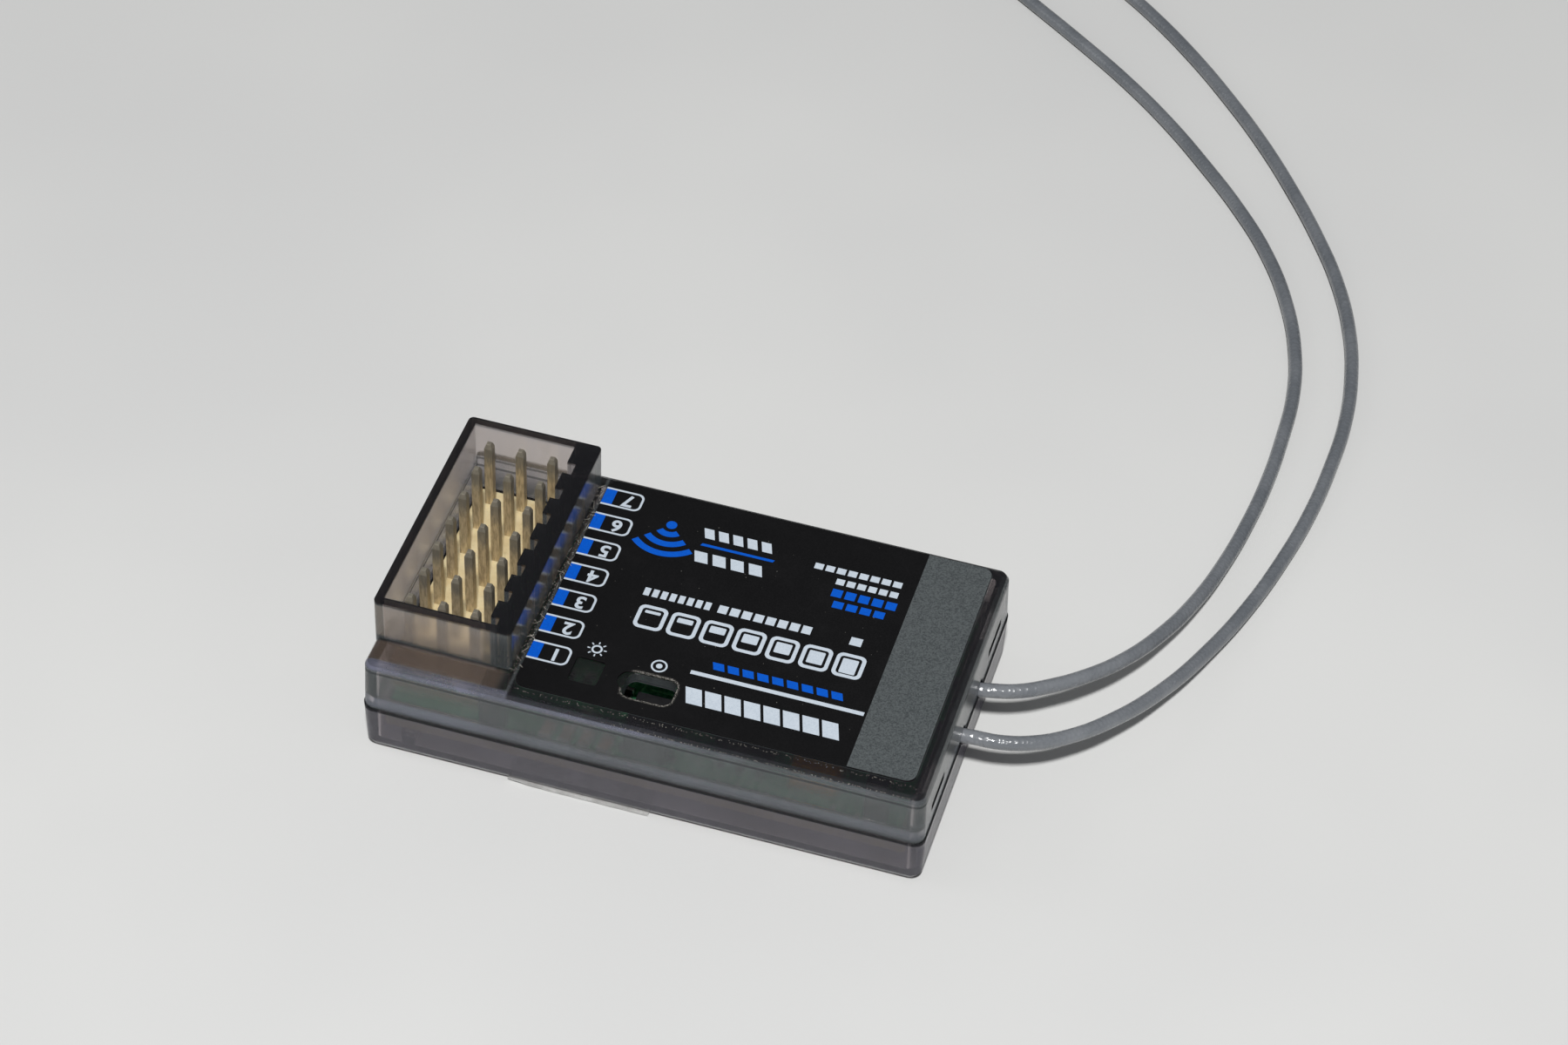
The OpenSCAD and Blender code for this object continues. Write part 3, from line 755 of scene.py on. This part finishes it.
def finish_piece(mesh: bpy.types.Mesh, name: str, material: bpy.types.Material, body: Body,
                 bevel: float = 0.0, segments: int = 2,
                 smooth: bool = False) -> bpy.types.Object:
    """Puts a mesh in the scene as a finished piece that rides on a body."""
    piece = bpy.data.objects.new(name, mesh)
    bpy.context.scene.collection.objects.link(piece)
    mesh.materials.clear()
    mesh.materials.append(material)
    for face in mesh.polygons:
        face.use_smooth = smooth
    if bevel:
        rounding = piece.modifiers.new("rounding", "BEVEL")
        rounding.width = bevel * MM
        rounding.segments = segments
        rounding.limit_method = "ANGLE"
    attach(piece, body.value)
    log.info("%s: %d faces", name, len(mesh.polygons))
    return piece


def rounded_outline(x0: float, y0: float, x1: float, y1: float, radius: float, steps: int = 6,
                    rounded_left: bool = True) -> list[Point2]:
    """Anticlockwise outline of a box with round corners.

    Args:
        x0: left side.
        y0: lower side.
        x1: right side.
        y1: upper side.
        radius: corner radius.
        steps: steps of each corner.
        rounded_left: whether the left corners are round too.

    Returns:
        The outline's points.
    """
    left = radius if rounded_left else 1e-4
    corners = [(x0, y0, left, 180), (x1, y0, radius, 270), (x1, y1, radius, 0), (x0, y1, left, 90)]
    points = []
    for x, y, r, turn in corners:
        centre = (x + r if x == x0 else x - r, y + r if y == y0 else y - r)
        for step in range(steps + 1):
            angle = math.radians(turn + 90 * step / steps)
            points.append((centre[0] + r * math.cos(angle), centre[1] + r * math.sin(angle)))
    return points


def circle_outline(x: float, y: float, radius: float, steps: int = 24) -> list[Point2]:
    """Anticlockwise outline of a circle."""
    turns = (2 * math.pi * i / steps for i in range(steps))
    return [(x + radius * math.cos(a), y + radius * math.sin(a)) for a in turns]


def arc_band(x: float, y: float, radius: float, width: float, start: float, end: float,
             steps: int = 16) -> list[Point2]:
    """Anticlockwise outline of a curved band between two angles in degrees."""
    turns = [math.radians(start + (end - start) * i / steps) for i in range(steps + 1)]
    outer = [(x + radius * math.cos(a), y + radius * math.sin(a)) for a in turns]
    inner = [(x + (radius - width) * math.cos(a), y + (radius - width) * math.sin(a)) for a in turns]
    return outer + inner[::-1]


def slanted_outline(x0: float, y0: float, x1: float, y1: float, slant: float) -> list[Point2]:
    """Anticlockwise outline of a box whose upper side is moved along X by slant."""
    return [(x0, y0), (x1, y0), (x1 + slant, y1), (x0 + slant, y1)]


def dress(node: str, material: bpy.types.Material) -> None:
    """Gives a CAD node its finish."""
    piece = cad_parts[node]
    if not piece.material_slots:
        piece.data.materials.append(material)
    for slot in piece.material_slots:
        slot.material = material
    log.info("%s: dressed as %s", node, material.name)


@dataclass
class StudioSet:
    """Camera, pale sheet and soft light, as in the photograph."""

    lens_pixels: float = 4680.343
    frame_pixels: float = 1800.0
    place: Point3 = (0.06051, -0.20041, 0.22699)
    forward: Point3 = (-0.18374, 0.68506, -0.70494)
    roll: float = 2.6605
    sheet: float = 1.6
    clearance: float = 0.02 * MM

    def build(self) -> None:
        """Makes the camera, the floor and the lights."""
        self._camera()
        self._floor()
        self._lights()
        bpy.context.scene.view_settings.view_transform = "Standard"

    def _camera(self) -> None:
        """Puts the camera where the photograph was taken from."""
        data = bpy.data.cameras.new("camera")
        data.sensor_width = 36.0
        data.lens = self.lens_pixels * data.sensor_width / self.frame_pixels
        data.clip_start = 0.01
        camera = bpy.data.objects.new("camera", data)
        bpy.context.scene.collection.objects.link(camera)
        aim = Vector(self.forward).normalized().to_track_quat("-Z", "Y").to_matrix()
        turn = Matrix.Rotation(math.radians(self.roll), 3, "Z")
        camera.matrix_world = Matrix.Translation(self.place) @ (aim @ turn).to_4x4()
        bpy.context.scene.camera = camera

    def _floor(self) -> None:
        """Makes the pale sheet that the part lies on."""
        half, level = self.sheet / 2, -self.clearance
        mesh = bpy.data.meshes.new("studio_sheet")
        mesh.from_pydata([(-half, -half, level), (half, -half, level), (half, half, level),
                          (-half, half, level)], [], [(0, 1, 2, 3)])
        sheet = bpy.data.objects.new("studio_sheet", mesh)
        sheet.data.materials.append(Backdrop().material())
        bpy.context.scene.collection.objects.link(sheet)

    def _lights(self) -> None:
        """Makes one soft key light high in front, a weaker one on the left and an even sky."""
        self._area("key_light", (0.085, -0.30, 0.56), 0.052, 4.2)
        self._area("side_light", (-0.85, -0.15, 0.45), 0.5, 0.7)
        world = bpy.data.worlds.new("sky")
        bpy.context.scene.world = world
        world.use_nodes = True
        sky = world.node_tree.nodes["Background"]
        sky.inputs["Color"].default_value = (0.95, 0.97, 1.0, 1.0)
        sky.inputs["Strength"].default_value = 0.17

    @staticmethod
    def _area(name: str, place: Point3, size: float, power: float) -> None:
        """Makes one square area light that looks at the part."""
        data = bpy.data.lights.new(name, "AREA")
        data.shape = "SQUARE"
        data.size = size
        data.energy = power
        lamp = bpy.data.objects.new(name, data)
        bpy.context.scene.collection.objects.link(lamp)
        aim = -Vector(place)
        lamp.matrix_world = Matrix.Translation(place) @ aim.to_track_quat("-Z", "Y").to_matrix().to_4x4()


@dataclass
class Aerial:
    """One coaxial aerial: a grey jacketed lead and its stripped active tip, lying on the surface."""

    number: int
    lead_route: Sequence[Point3]
    tip_route: Sequence[Point3]
    length: float
    lead_diameter: float = 1.13
    tip_diameter: float = 0.7
    exit_index: int = 2

    def build(self, jacket: bpy.types.Material, core: bpy.types.Material) -> None:
        tip = self._curve(f"aerial_{self.number}_tip", self.tip_route, self.tip_diameter, core, "coax_core")
        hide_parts(f"aerial_tip_{self.number}")
        lead = self._curve(f"aerial_{self.number}_lead", self.lead_route, self.lead_diameter, jacket,
                           "coax_grey")
        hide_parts(f"aerial_lead_{self.number}")
        leaves = [c * MM for c in self.lead_route[self.exit_index]]
        log.info("aerial %d: cord of %.1f mm", self.number, self.length)

    @staticmethod
    def _curve(name: str, route: Sequence[Point3], diameter: float, material: bpy.types.Material,
               slot: str) -> bpy.types.Object:
        """Makes one round smooth lead along a route."""
        data = bpy.data.curves.new(name, "CURVE")
        data.dimensions = "3D"
        data.bevel_depth = diameter / 2 * MM
        data.bevel_resolution = 6
        data.use_fill_caps = True
        data.resolution_u = 6
        spline = data.splines.new("BEZIER")
        spline.bezier_points.add(len(route) - 1)
        for point, place in zip(spline.bezier_points, route):
            point.co = Vector(place) * MM
            point.handle_left_type = point.handle_right_type = "AUTO"
        data.materials.append(material)
        lead = bpy.data.objects.new(name, data)
        bpy.context.scene.collection.objects.link(lead)
        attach(lead, Body.CASE.value)
        return lead


@dataclass
class CaseShells:
    """The two clear smoke-grey shells."""

    upper: SmokedClear = SmokedClear("smoke_upper")
    lower: SmokedClear = SmokedClear("smoke_lower")

    def build(self) -> None:
        """Dresses both shells."""
        dress("upper_case", self.upper.material())
        dress("lower_case", self.lower.material())


class Print(Enum):
    """The inks of the top label."""

    WHITE = "white"
    BLUE = "blue"
    GREY = "grey"


@dataclass
class TopLabel:
    """The black film on the flat top and everything printed on it."""

    level: float = 8.92
    ink: float = 0.012
    first_row: float = -7.0
    row_step: float = 2.82
    box_x0: float = -10.2
    box_x1: float = -7.1
    box_height: float = 1.9
    bar_width: float = 0.85
    line: float = 0.17
    strip_x0: float = 15.1
    strip_x1: float = 20.12
    strip_y0: float = -10.72
    strip_y1: float = 11.72
    number_height: float = 1.25
    makers: dict[Print, MeshMaker] = field(default_factory=dict)

    def build(self) -> None:
        """Prints the label and dresses its film."""
        dress("top_label", LabelFilm().material())
        self.makers = {ink: MeshMaker(f"label_print_{ink.value}") for ink in Print}
        self._channel_boxes()
        self._strip()
        self._maker_bars()
        self._emblem()
        self._small_lines()
        self._marks()
        finishes = {
            Print.WHITE: Ink("ink_white", srgb(196, 205, 214), srgb(168, 180, 192)),
            Print.BLUE: Ink("ink_blue", srgb(0, 88, 198), srgb(0, 70, 168)),
            Print.GREY: Ink("ink_grey", srgb(88, 93, 94), srgb(52, 56, 58), 0.6, 0.8),
        }
        for ink, maker in self.makers.items():
            maker.piece(finishes[ink].material(), slot="label_print")
        self._numbers(finishes[Print.WHITE].material())

    def _add(self, ink: Print, outline: Sequence[Point2], inner: Sequence[Point2] = ()) -> None:
        """Prints one shape."""
        self.makers[ink].ring(outline, inner, self.level - 0.002, self.level + self.ink)

    def row_middle(self, row: int) -> float:
        """The place of a row's box along Y."""
        return self.first_row + row * self.row_step

    def _channel_boxes(self) -> None:
        """Prints the seven boxes beside the plug rows, each with its blue end."""
        half = self.box_height / 2
        for row in range(7):
            y = self.row_middle(row)
            outer = rounded_outline(self.box_x0, y - half, self.box_x1, y + half, 0.55, rounded_left=False)
            inner = rounded_outline(self.box_x0, y - half + self.line, self.box_x1 - self.line,
                                    y + half - self.line, 0.42, rounded_left=False)
            self._add(Print.WHITE, outer, inner)
            bar = (self.box_x0, y - half + self.line, self.box_x0 + self.bar_width, y + half - self.line)
            self._add(Print.BLUE, rounded_outline(*bar, 0.02, 2))

    def _strip(self) -> None:
        """Prints the plain grey strip at the aerial end."""
        outline = rounded_outline(self.strip_x0, self.strip_y0, self.strip_x1, self.strip_y1, 0.78)
        square_left = [(self.strip_x0, y) if x < self.strip_x0 + 0.79 and (y in (self.strip_y0, self.strip_y1))
                       else (x, y) for x, y in outline]
        self._add(Print.GREY, [p for p in square_left if p[0] > self.strip_x0 + 0.79 or p[0] == self.strip_x0])

    def _blocks(self, ink: Print, x0: float, x1: float, y0: float, y1: float, count: int, gap: float,
                slant: float = 0.0) -> None:
        """Prints a row of equal slanted blocks between two places."""
        width = (x1 - x0 - gap * (count - 1)) / count
        for i in range(count):
            left = x0 + i * (width + gap)
            self._add(ink, slanted_outline(left, y0, left + width, y1, slant))

    def _maker_bars(self) -> None:
        """Prints the white rule with bold bars below it and blue and light rows above it."""
        self._add(Print.WHITE, slanted_outline(1.7, -5.68, 14.9, -5.32, 0))
        self._blocks(Print.WHITE, 2.3, 13.9, -8.55, -7.0, 8, 0.24, -0.5)
        self._blocks(Print.BLUE, 3.2, 13.1, -4.75, -4.05, 9, 0.28, -0.25)
        for i in range(7):
            left = -3.9 + i * 2.55
            outer = rounded_outline(left, -2.45, left + 2.25, -0.05, 0.5)
            inner = rounded_outline(left + 0.3, -2.15, left + 1.95, -0.35, 0.26)
            self._add(Print.WHITE, outer, inner)
            level = 0.25 + 0.2 * i
            self._add(Print.WHITE, rounded_outline(left + 0.52, -0.6 - level, left + 1.73, -0.57, 0.08, 2))
        for start, end, count in ((-4.1, 1.1, 8), (1.7, 8.9, 8), (11.9, 12.8, 1)):
            self._blocks(Print.WHITE, start, end, 0.85, 1.65, count, 0.22)

    def _emblem(self) -> None:
        """Prints three blue radio waves over a dot beside two rows of light bars."""
        x, y = -4.3, 8.5
        self._add(Print.BLUE, circle_outline(x, y, 0.42))
        for radius in (1.3, 2.35, 3.4):
            self._add(Print.BLUE, arc_band(x, y, radius, 0.55, 225, 315))
        self._blocks(Print.WHITE, -1.5, 3.8, 8.0, 9.0, 5, 0.35, -0.35)
        self._add(Print.BLUE, slanted_outline(-1.6, 7.15, 4.1, 7.4, 0.1))
        self._blocks(Print.WHITE, -1.5, 3.8, 5.4, 6.5, 4, 0.4, -0.35)

    def _small_lines(self) -> None:
        """Prints the block of short lines by the grey strip."""
        self._blocks(Print.BLUE, 9.6, 13.6, 4.1, 4.8, 4, 0.25)
        self._blocks(Print.BLUE, 9.2, 14.2, 5.2, 6.0, 5, 0.25)
        self._blocks(Print.WHITE, 9.2, 14.0, 6.5, 7.1, 6, 0.2)
        self._blocks(Print.WHITE, 7.2, 14.0, 7.6, 8.2, 8, 0.2)

    def _marks(self) -> None:
        """Prints a light mark over the window and a push mark over the slot."""
        x, y = -5.5, -5.55
        self._add(Print.WHITE, circle_outline(x, y, 0.42), circle_outline(x, y, 0.27))
        for i in range(8):
            angle = math.radians(45 * i)
            along, across = Vector((math.cos(angle), math.sin(angle))), Vector((-math.sin(angle), math.cos(angle)))
            ray = [along * 0.52 - across * 0.05, along * 0.74 - across * 0.05, along * 0.74 + across * 0.05,
                   along * 0.52 + across * 0.05]
            self._add(Print.WHITE, [(x + p.x, y + p.y) for p in ray])
        x, y = -0.65, -5.7
        self._add(Print.WHITE, circle_outline(x, y, 0.62), circle_outline(x, y, 0.48))
        self._add(Print.WHITE, circle_outline(x, y, 0.24))

    def _numbers(self, material: bpy.types.Material) -> None:
        """Prints the channel numbers, read from the side away from the switch."""
        for row in range(7):
            data = bpy.data.curves.new(f"number_{row + 1}", "FONT")
            data.body = str(row + 1)
            data.size = self.number_height * 1.35 * MM
            data.align_x = "CENTER"
            data.align_y = "CENTER"
            data.extrude = self.ink / 2 * MM
            data.offset = 0.045 * MM
            data.resolution_u = 4
            text = bpy.data.objects.new(f"number_{row + 1}_outline", data)
            bpy.context.scene.collection.objects.link(text)
            bpy.context.view_layer.update()
            mesh = bpy.data.meshes.new_from_object(text.evaluated_get(bpy.context.evaluated_depsgraph_get()))
            bpy.data.objects.remove(text)
            middle_x = (self.box_x0 + self.bar_width + self.box_x1) / 2
            place = Vector((middle_x, self.row_middle(row), self.level + self.ink / 2)) * MM
            mesh.transform(Matrix.Translation(place) @ Matrix.Rotation(math.pi, 4, "Z"))
            finish_piece(mesh, f"channel_number_{row + 1}", material, Body.CASE)


@dataclass
class UnderLabel:
    """The silver label under the case, whose front edge sticks out and lifts at its left corner."""

    left: float = -10.15
    right: float = 0.75
    front: float = -12.42
    back: float = -11.9
    level: float = 0.12
    thickness: float = 0.06
    lift: float = 0.32
    lifted_run: float = 3.6
    steps: int = 36

    def build(self) -> None:
        """Dresses the label and makes its lifted front edge."""
        foil = Foil().material()
        dress("bottom_label", foil)
        maker = MeshMaker("foil_front_edge")
        rows = []
        for i in range(self.steps + 1):
            x = self.left + (self.right - self.left) * i / self.steps
            bent = max(0.0, 1 - (x - self.left) / self.lifted_run) ** 2 * self.lift
            wave = 0.02 * math.sin(i * 0.9)
            rows.append([(x, self.front, self.level + bent + wave), (x, self.back, self.level + bent * 0.3),
                         (x, self.back, self.level + bent * 0.3 - self.thickness),
                         (x, self.front, self.level + bent + wave - self.thickness)])
        maker.tube(rows)
        maker.piece(foil, slot="foil_label")


@dataclass
class PlugHeader:
    """The cream moulded base and its 21 square pins."""

    rows: int = 7
    names: tuple[str, ...] = ("signal", "power", "ground")

    def build(self) -> None:
        """Dresses the base and the pins."""
        cream = Moulded("header_cream", srgb(214, 198, 158), srgb(196, 176, 134), 0.42, glow=0.3)
        dress("header_base", cream.material())
        plating = PinPlating().material()
        for row in range(self.rows):
            for name in self.names:
                dress(f"pin_{row + 1}_{name}", plating)
        dress("pin_solder", Metal("solder", srgb(196, 198, 200), srgb(150, 150, 148), 0.3).material())


@dataclass
class BoardAssembly:
    """The green board with its chips, capacitors, cover and aerial saddles."""

    board_top: float = 3.2

    def build(self) -> None:
        """Dresses the board and what stands on it."""
        dress("circuit_board", SolderMask().material())
        chip = Moulded("chip_black", srgb(34, 34, 37), srgb(26, 26, 28), 0.5, 0.1, 0.006).material()
        for node in ("controller_chip", "radio_chip", "aerial_switch_chip", "voltage_regulator",
                     "chip_resistors"):
            dress(node, chip)
        tin = Metal("tin_sheet", srgb(205, 206, 206), srgb(160, 160, 156), 0.28, stretch=(0.4, 2, 1)).material()
        for node in ("shield_can", "crystal", "aerial_clamp_1", "aerial_clamp_2"):
            dress(node, tin)
        yellow = Moulded("capacitor_yellow", srgb(205, 150, 48), srgb(188, 132, 38), 0.4).material()
        for node in ("reservoir_capacitor", "filter_capacitor"):
            dress(node, yellow)
        dress("chip_capacitors", Moulded("ceramic_tan", srgb(178, 146, 116), srgb(160, 128, 100), 0.35).material())
        dress("status_light", Moulded("lamp_lens", srgb(224, 232, 214), srgb(206, 216, 196), 0.25, glow=0.4).material())


@dataclass
class BoardTerminals:
    """Tinned ends of the ceramic parts and the bare vias of the board."""

    board_top: float = 3.2
    via_width: float = 0.34
    via_rows: int = 9
    via_columns: int = 16

    def build(self) -> None:
        """Makes the terminals and the vias."""
        tin = Metal("terminal_tin", srgb(238, 238, 236), srgb(200, 198, 192), 0.42).material()
        rows = ((4, (-7.9, -9.5), (1.5, 0.0), (0.8, 1.6, 0.8), False), (3, (2.6, -2.4), (0.0, -1.4), (1.6, 0.8, 0.8), True),
                (5, (-9.6, -4.6), (1.5, 0.0), (0.8, 1.6, 0.45), False), (4, (7.2, -3.6), (1.1, 0.0), (0.5, 1.0, 0.35), False),
                (3, (15.4, 7.6), (0.0, -1.3), (1.0, 0.6, 0.5), True))
        for number, (count, start, step, size, lengthwise) in enumerate(rows):
            mesh = self._caps(f"terminals_{number + 1}", count, start, step, size, lengthwise, tin)
            finish_piece(mesh, f"terminals_{number + 1}", tin, Body.CASE)
        finish_piece(self._vias(tin), "board_vias", tin, Body.CASE)

    def _caps(self, name: str, count: int, start: Point2, step: Point2, size: Point3, lengthwise: bool,
              material: bpy.types.Material) -> bpy.types.Mesh:
        """Makes the metal caps of one row of ceramic parts.

        Args:
            name: name of the tree.
            count: number of parts.
            start: middle of the first part.
            step: way from one part to the next.
            size: size of one part.
            lengthwise: whether the parts lie along X.
            material: finish of the caps.

        Returns:
            The caps as one mesh.
        """
        cap, grown = 0.26, 0.05
        tree = GrowthTree(name, {"Count": count, "Cap": cap * MM, "Step X": step[0] * MM, "Step Y": step[1] * MM})
        reach = (size[0] if lengthwise else size[1]) / 2 - cap / 2 + grown
        box = (grown * 2 + size[0]) * MM, (grown * 2 + size[1]) * MM, (size[2] + grown) * MM
        block = tree.vector(tree.given("Cap"), box[1], box[2]) if lengthwise else tree.vector(
            box[0], tree.given("Cap"), box[2])
        shape = tree.wire("GeometryNodeMeshCube", inputs={"Size": block})
        ends = []
        for side in (-1, 1):
            away = side * reach * MM
            origin = (start[0] * MM + (away if lengthwise else 0), start[1] * MM + (0 if lengthwise else away),
                      (self.board_top + (size[2] + grown) / 2) * MM)
            line = tree.wire("GeometryNodeMeshLine", {}, {
                "Count": tree.given("Count"), "Start Location": origin,
                "Offset": tree.vector(tree.given("Step X"), tree.given("Step Y"))})
            ends.append(tree.wire("GeometryNodeInstanceOnPoints", inputs={"Points": line, "Instance": shape}))
        joined = tree.node("GeometryNodeJoinGeometry")
        for end in ends:
            tree.tree.links.new(end.socket, joined.inputs[0])
        return tree.mesh(Wire(tree, joined.outputs[0]), material)

    def _vias(self, material: bpy.types.Material) -> bpy.types.Mesh:
        """Makes a scatter of small tinned rings' domes over the board."""
        tree = GrowthTree("board_vias", {"Rows": self.via_rows, "Columns": self.via_columns,
                                         "Width": self.via_width * MM, "Seed": 7})
        grid = tree.wire("GeometryNodeMeshGrid", inputs={
            "Size X": 27 * MM, "Size Y": 20 * MM, "Vertices X": tree.given("Columns"),
            "Vertices Y": tree.given("Rows")})
        shift = tree.random((-0.7 * MM, -0.7 * MM, 0.0), (0.7 * MM, 0.7 * MM, 0.0), tree.given("Seed"))
        placed = tree.wire("GeometryNodeSetPosition", inputs={
            "Geometry": grid, "Offset": tree.wire("ShaderNodeVectorMath", {"operation": "ADD"},
                                                  {0: shift, 1: (4.6 * MM, 0.0, self.board_top * MM)})})
        disc = tree.wire("GeometryNodeMeshCylinder", inputs={
            "Vertices": 8, "Radius": tree.given("Width") * 0.5, "Depth": 0.06 * MM})
        return tree.mesh(tree.wire("GeometryNodeInstanceOnPoints", inputs={
            "Points": placed, "Instance": disc}), material)


class DustKind(Enum):
    """Shapes of what has settled on the part: how long a bit is beside its width."""

    SPECK = 1.4
    LINT = 11.0


@dataclass
class SettledDust:
    """Specks and lint caught along the label's left edge by the foot of the well, and specks along the front top edge
    and its rounding.
    """

    width: float = 0.058

    def build(self) -> None:
        """Scatters the dust along its lines."""
        pale = Moulded("dust_pale", srgb(196, 190, 178), srgb(150, 146, 138), 0.8, 0.05).material()
        top = 8.96
        lines = (
            ("dust_label_edge", DustKind.SPECK, 220, 3, (-10.5, -9.6, top), (-10.5, 10.6, top), (0.3, 0.3, 0.02)),
            ("lint_label_edge", DustKind.LINT, 26, 5, (-10.5, -9.6, top + 0.04), (-10.5, 10.6, top + 0.04),
             (0.3, 0.4, 0.03)),
            ("dust_front_edge", DustKind.SPECK, 170, 11, (-10.0, -11.1, 8.82), (20.4, -11.1, 8.82), (0.4, 0.12, 0.01)),
            ("dust_front_round", DustKind.SPECK, 130, 17, (-2.0, -12.12, 8.70), (20.2, -12.12, 8.70), (0.5, 0.03, 0.0)),
        )
        for name, kind, count, seed, start, end, spread in lines:
            mesh = self._scatter(name, kind, count, seed, start, end, spread, pale)
            finish_piece(mesh, name, pale, Body.CASE)

    def _scatter(self, name: str, kind: DustKind, count: int, seed: int, start: Point3, end: Point3,
                 spread: Point3, material: bpy.types.Material) -> bpy.types.Mesh:
        """Scatters bits of dust along a line.

        Args:
            name: name of the tree.
            kind: shape of the bits.
            count: number of bits.
            seed: seed of their places.
            start: one end of the line, in millimetres.
            end: the other end.
            spread: how far a bit may lie from the line.
            material: finish of the dust.

        Returns:
            The dust as one mesh.
        """
        tree = GrowthTree(name, {"Count": count, "Seed": seed, "Width": self.width * MM})
        line = tree.wire("GeometryNodeMeshLine", {"mode": "END_POINTS"}, {
            "Count": tree.given("Count"), "Start Location": tuple(c * MM for c in start),
            "Offset": tuple(c * MM for c in end)})
        shift = tree.random(tuple(-c * MM for c in spread), tuple(c * MM for c in spread), tree.given("Seed"))
        placed = tree.wire("GeometryNodeSetPosition", inputs={"Geometry": line, "Offset": shift})
        bit = tree.wire("GeometryNodeMeshIcoSphere", inputs={"Radius": tree.given("Width") * 0.5, "Subdivisions": 1})
        turn = tree.random((0.0, -0.15, -math.pi), (0.0, 0.15, math.pi), tree.given("Seed") + 1.0)
        size = tree.random((0.5 * kind.value, 0.5, 0.4), (1.5 * kind.value, 1.2, 0.8), tree.given("Seed") + 2.0)
        return tree.mesh(tree.wire("GeometryNodeInstanceOnPoints", inputs={
            "Points": placed, "Instance": bit, "Rotation": turn, "Scale": size}), material)


@dataclass
class LinkSwitch:
    """The push switch under the slot."""

    def build(self) -> None:
        """Dresses the switch and its button."""
        black = Moulded("switch_black", srgb(30, 30, 32), srgb(22, 22, 24), 0.42)
        dress("link_switch_body", black.material())
        dress("link_button", Moulded("button_black", srgb(20, 20, 22), srgb(30, 30, 31), 0.35).material())


LEAD_1: list[Point3] = [
    (16, 3.6, 3.9), (18.4, 3.6, 4), (22, 3.8, 4.4), (24.2, 4.5, 4.35), (26.3, 5.9, 4.2), (28.6, 8.1, 3.85),
    (30.8, 11.2, 3.25), (32.8, 15.6, 2.35), (34.4, 20.8, 1.4), (35.5, 26, 0.8), (36.3, 31.2, 0.62),
    (36.8, 36.6, 0.6), (36.9, 42, 0.6), (36.7, 47.2, 0.6), (35.8, 52.2, 0.6), (33.9, 57.9, 0.6),
    (31, 63.6, 0.6), (27.4, 68.7, 0.6), (23.4, 73.4, 0.6), (19.1, 78, 0.6), (14.2, 82.5, 0.6),
    (8.9, 86.7, 0.6), (3.4, 90.8, 0.6), (-0.8, 93.9, 0.6), (-4.6, 96.5, 0.6),
]
TIP_1: list[Point3] = [
    (-4.6, 96.5, 0.6), (-8.4, 99.1, 0.6), (-13.2, 101.3, 0.45), (-18.2, 102.6, 0.38), (-23.4, 103.1, 0.38),
    (-28.5, 103.3, 0.38), (-33.6, 102.8, 0.38),
]
LEAD_2: list[Point3] = [
    (16, -1.1, 3.9), (18.4, -1.1, 4), (22, -1.1, 4.4), (24.2, -0.9, 4.35), (26.4, -0.1, 4.2),
    (28.8, 1.7, 3.85), (31.5, 5, 3.25), (34.2, 10.1, 2.2), (36.5, 16.2, 1.2), (38.4, 22.3, 0.72),
    (39.8, 28.2, 0.6), (40.8, 34, 0.6), (41.3, 39.8, 0.6), (41.4, 45.4, 0.6), (40.8, 51, 0.6),
    (39.5, 56.5, 0.6), (37.4, 62, 0.6), (34.6, 67.3, 0.6), (31.3, 72.6, 0.6), (27.6, 77.9, 0.6),
    (23.5, 83, 0.6), (19, 88, 0.6), (14.1, 92.7, 0.6), (10.6, 95.6, 0.6),
]
TIP_2: list[Point3] = [
    (10.6, 95.6, 0.6), (7.1, 98.5, 0.6), (2.4, 101, 0.45), (-2.5, 102.9, 0.38), (-7.6, 104.2, 0.38),
    (-12.6, 105, 0.38), (-17.7, 105.2, 0.38),
]


def route_length(route: Sequence[Point3]) -> float:
    """Length of a route in millimetres."""
    return sum((Vector(b) - Vector(a)).length for a, b in zip(route, route[1:]))


def main() -> None:
    """Builds every sub-assembly in order."""
    logging.basicConfig(level=logging.INFO, format="%(message)s")
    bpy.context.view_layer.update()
    StudioSet().build()
    jacket = CoaxJacket().material()
    core = Moulded("coax_core", srgb(222, 220, 212), srgb(206, 203, 194), 0.35, glow=0.3).material()
    Aerial(1, LEAD_1, TIP_1, route_length(LEAD_1)).build(jacket, core)
    Aerial(2, LEAD_2, TIP_2, route_length(LEAD_2)).build(jacket, core)
    CaseShells().build()
    TopLabel().build()
    UnderLabel().build()
    PlugHeader().build()
    BoardAssembly().build()
    BoardTerminals().build()
    LinkSwitch().build()
    SettledDust().build()


if __name__ == "__main__":
    main()
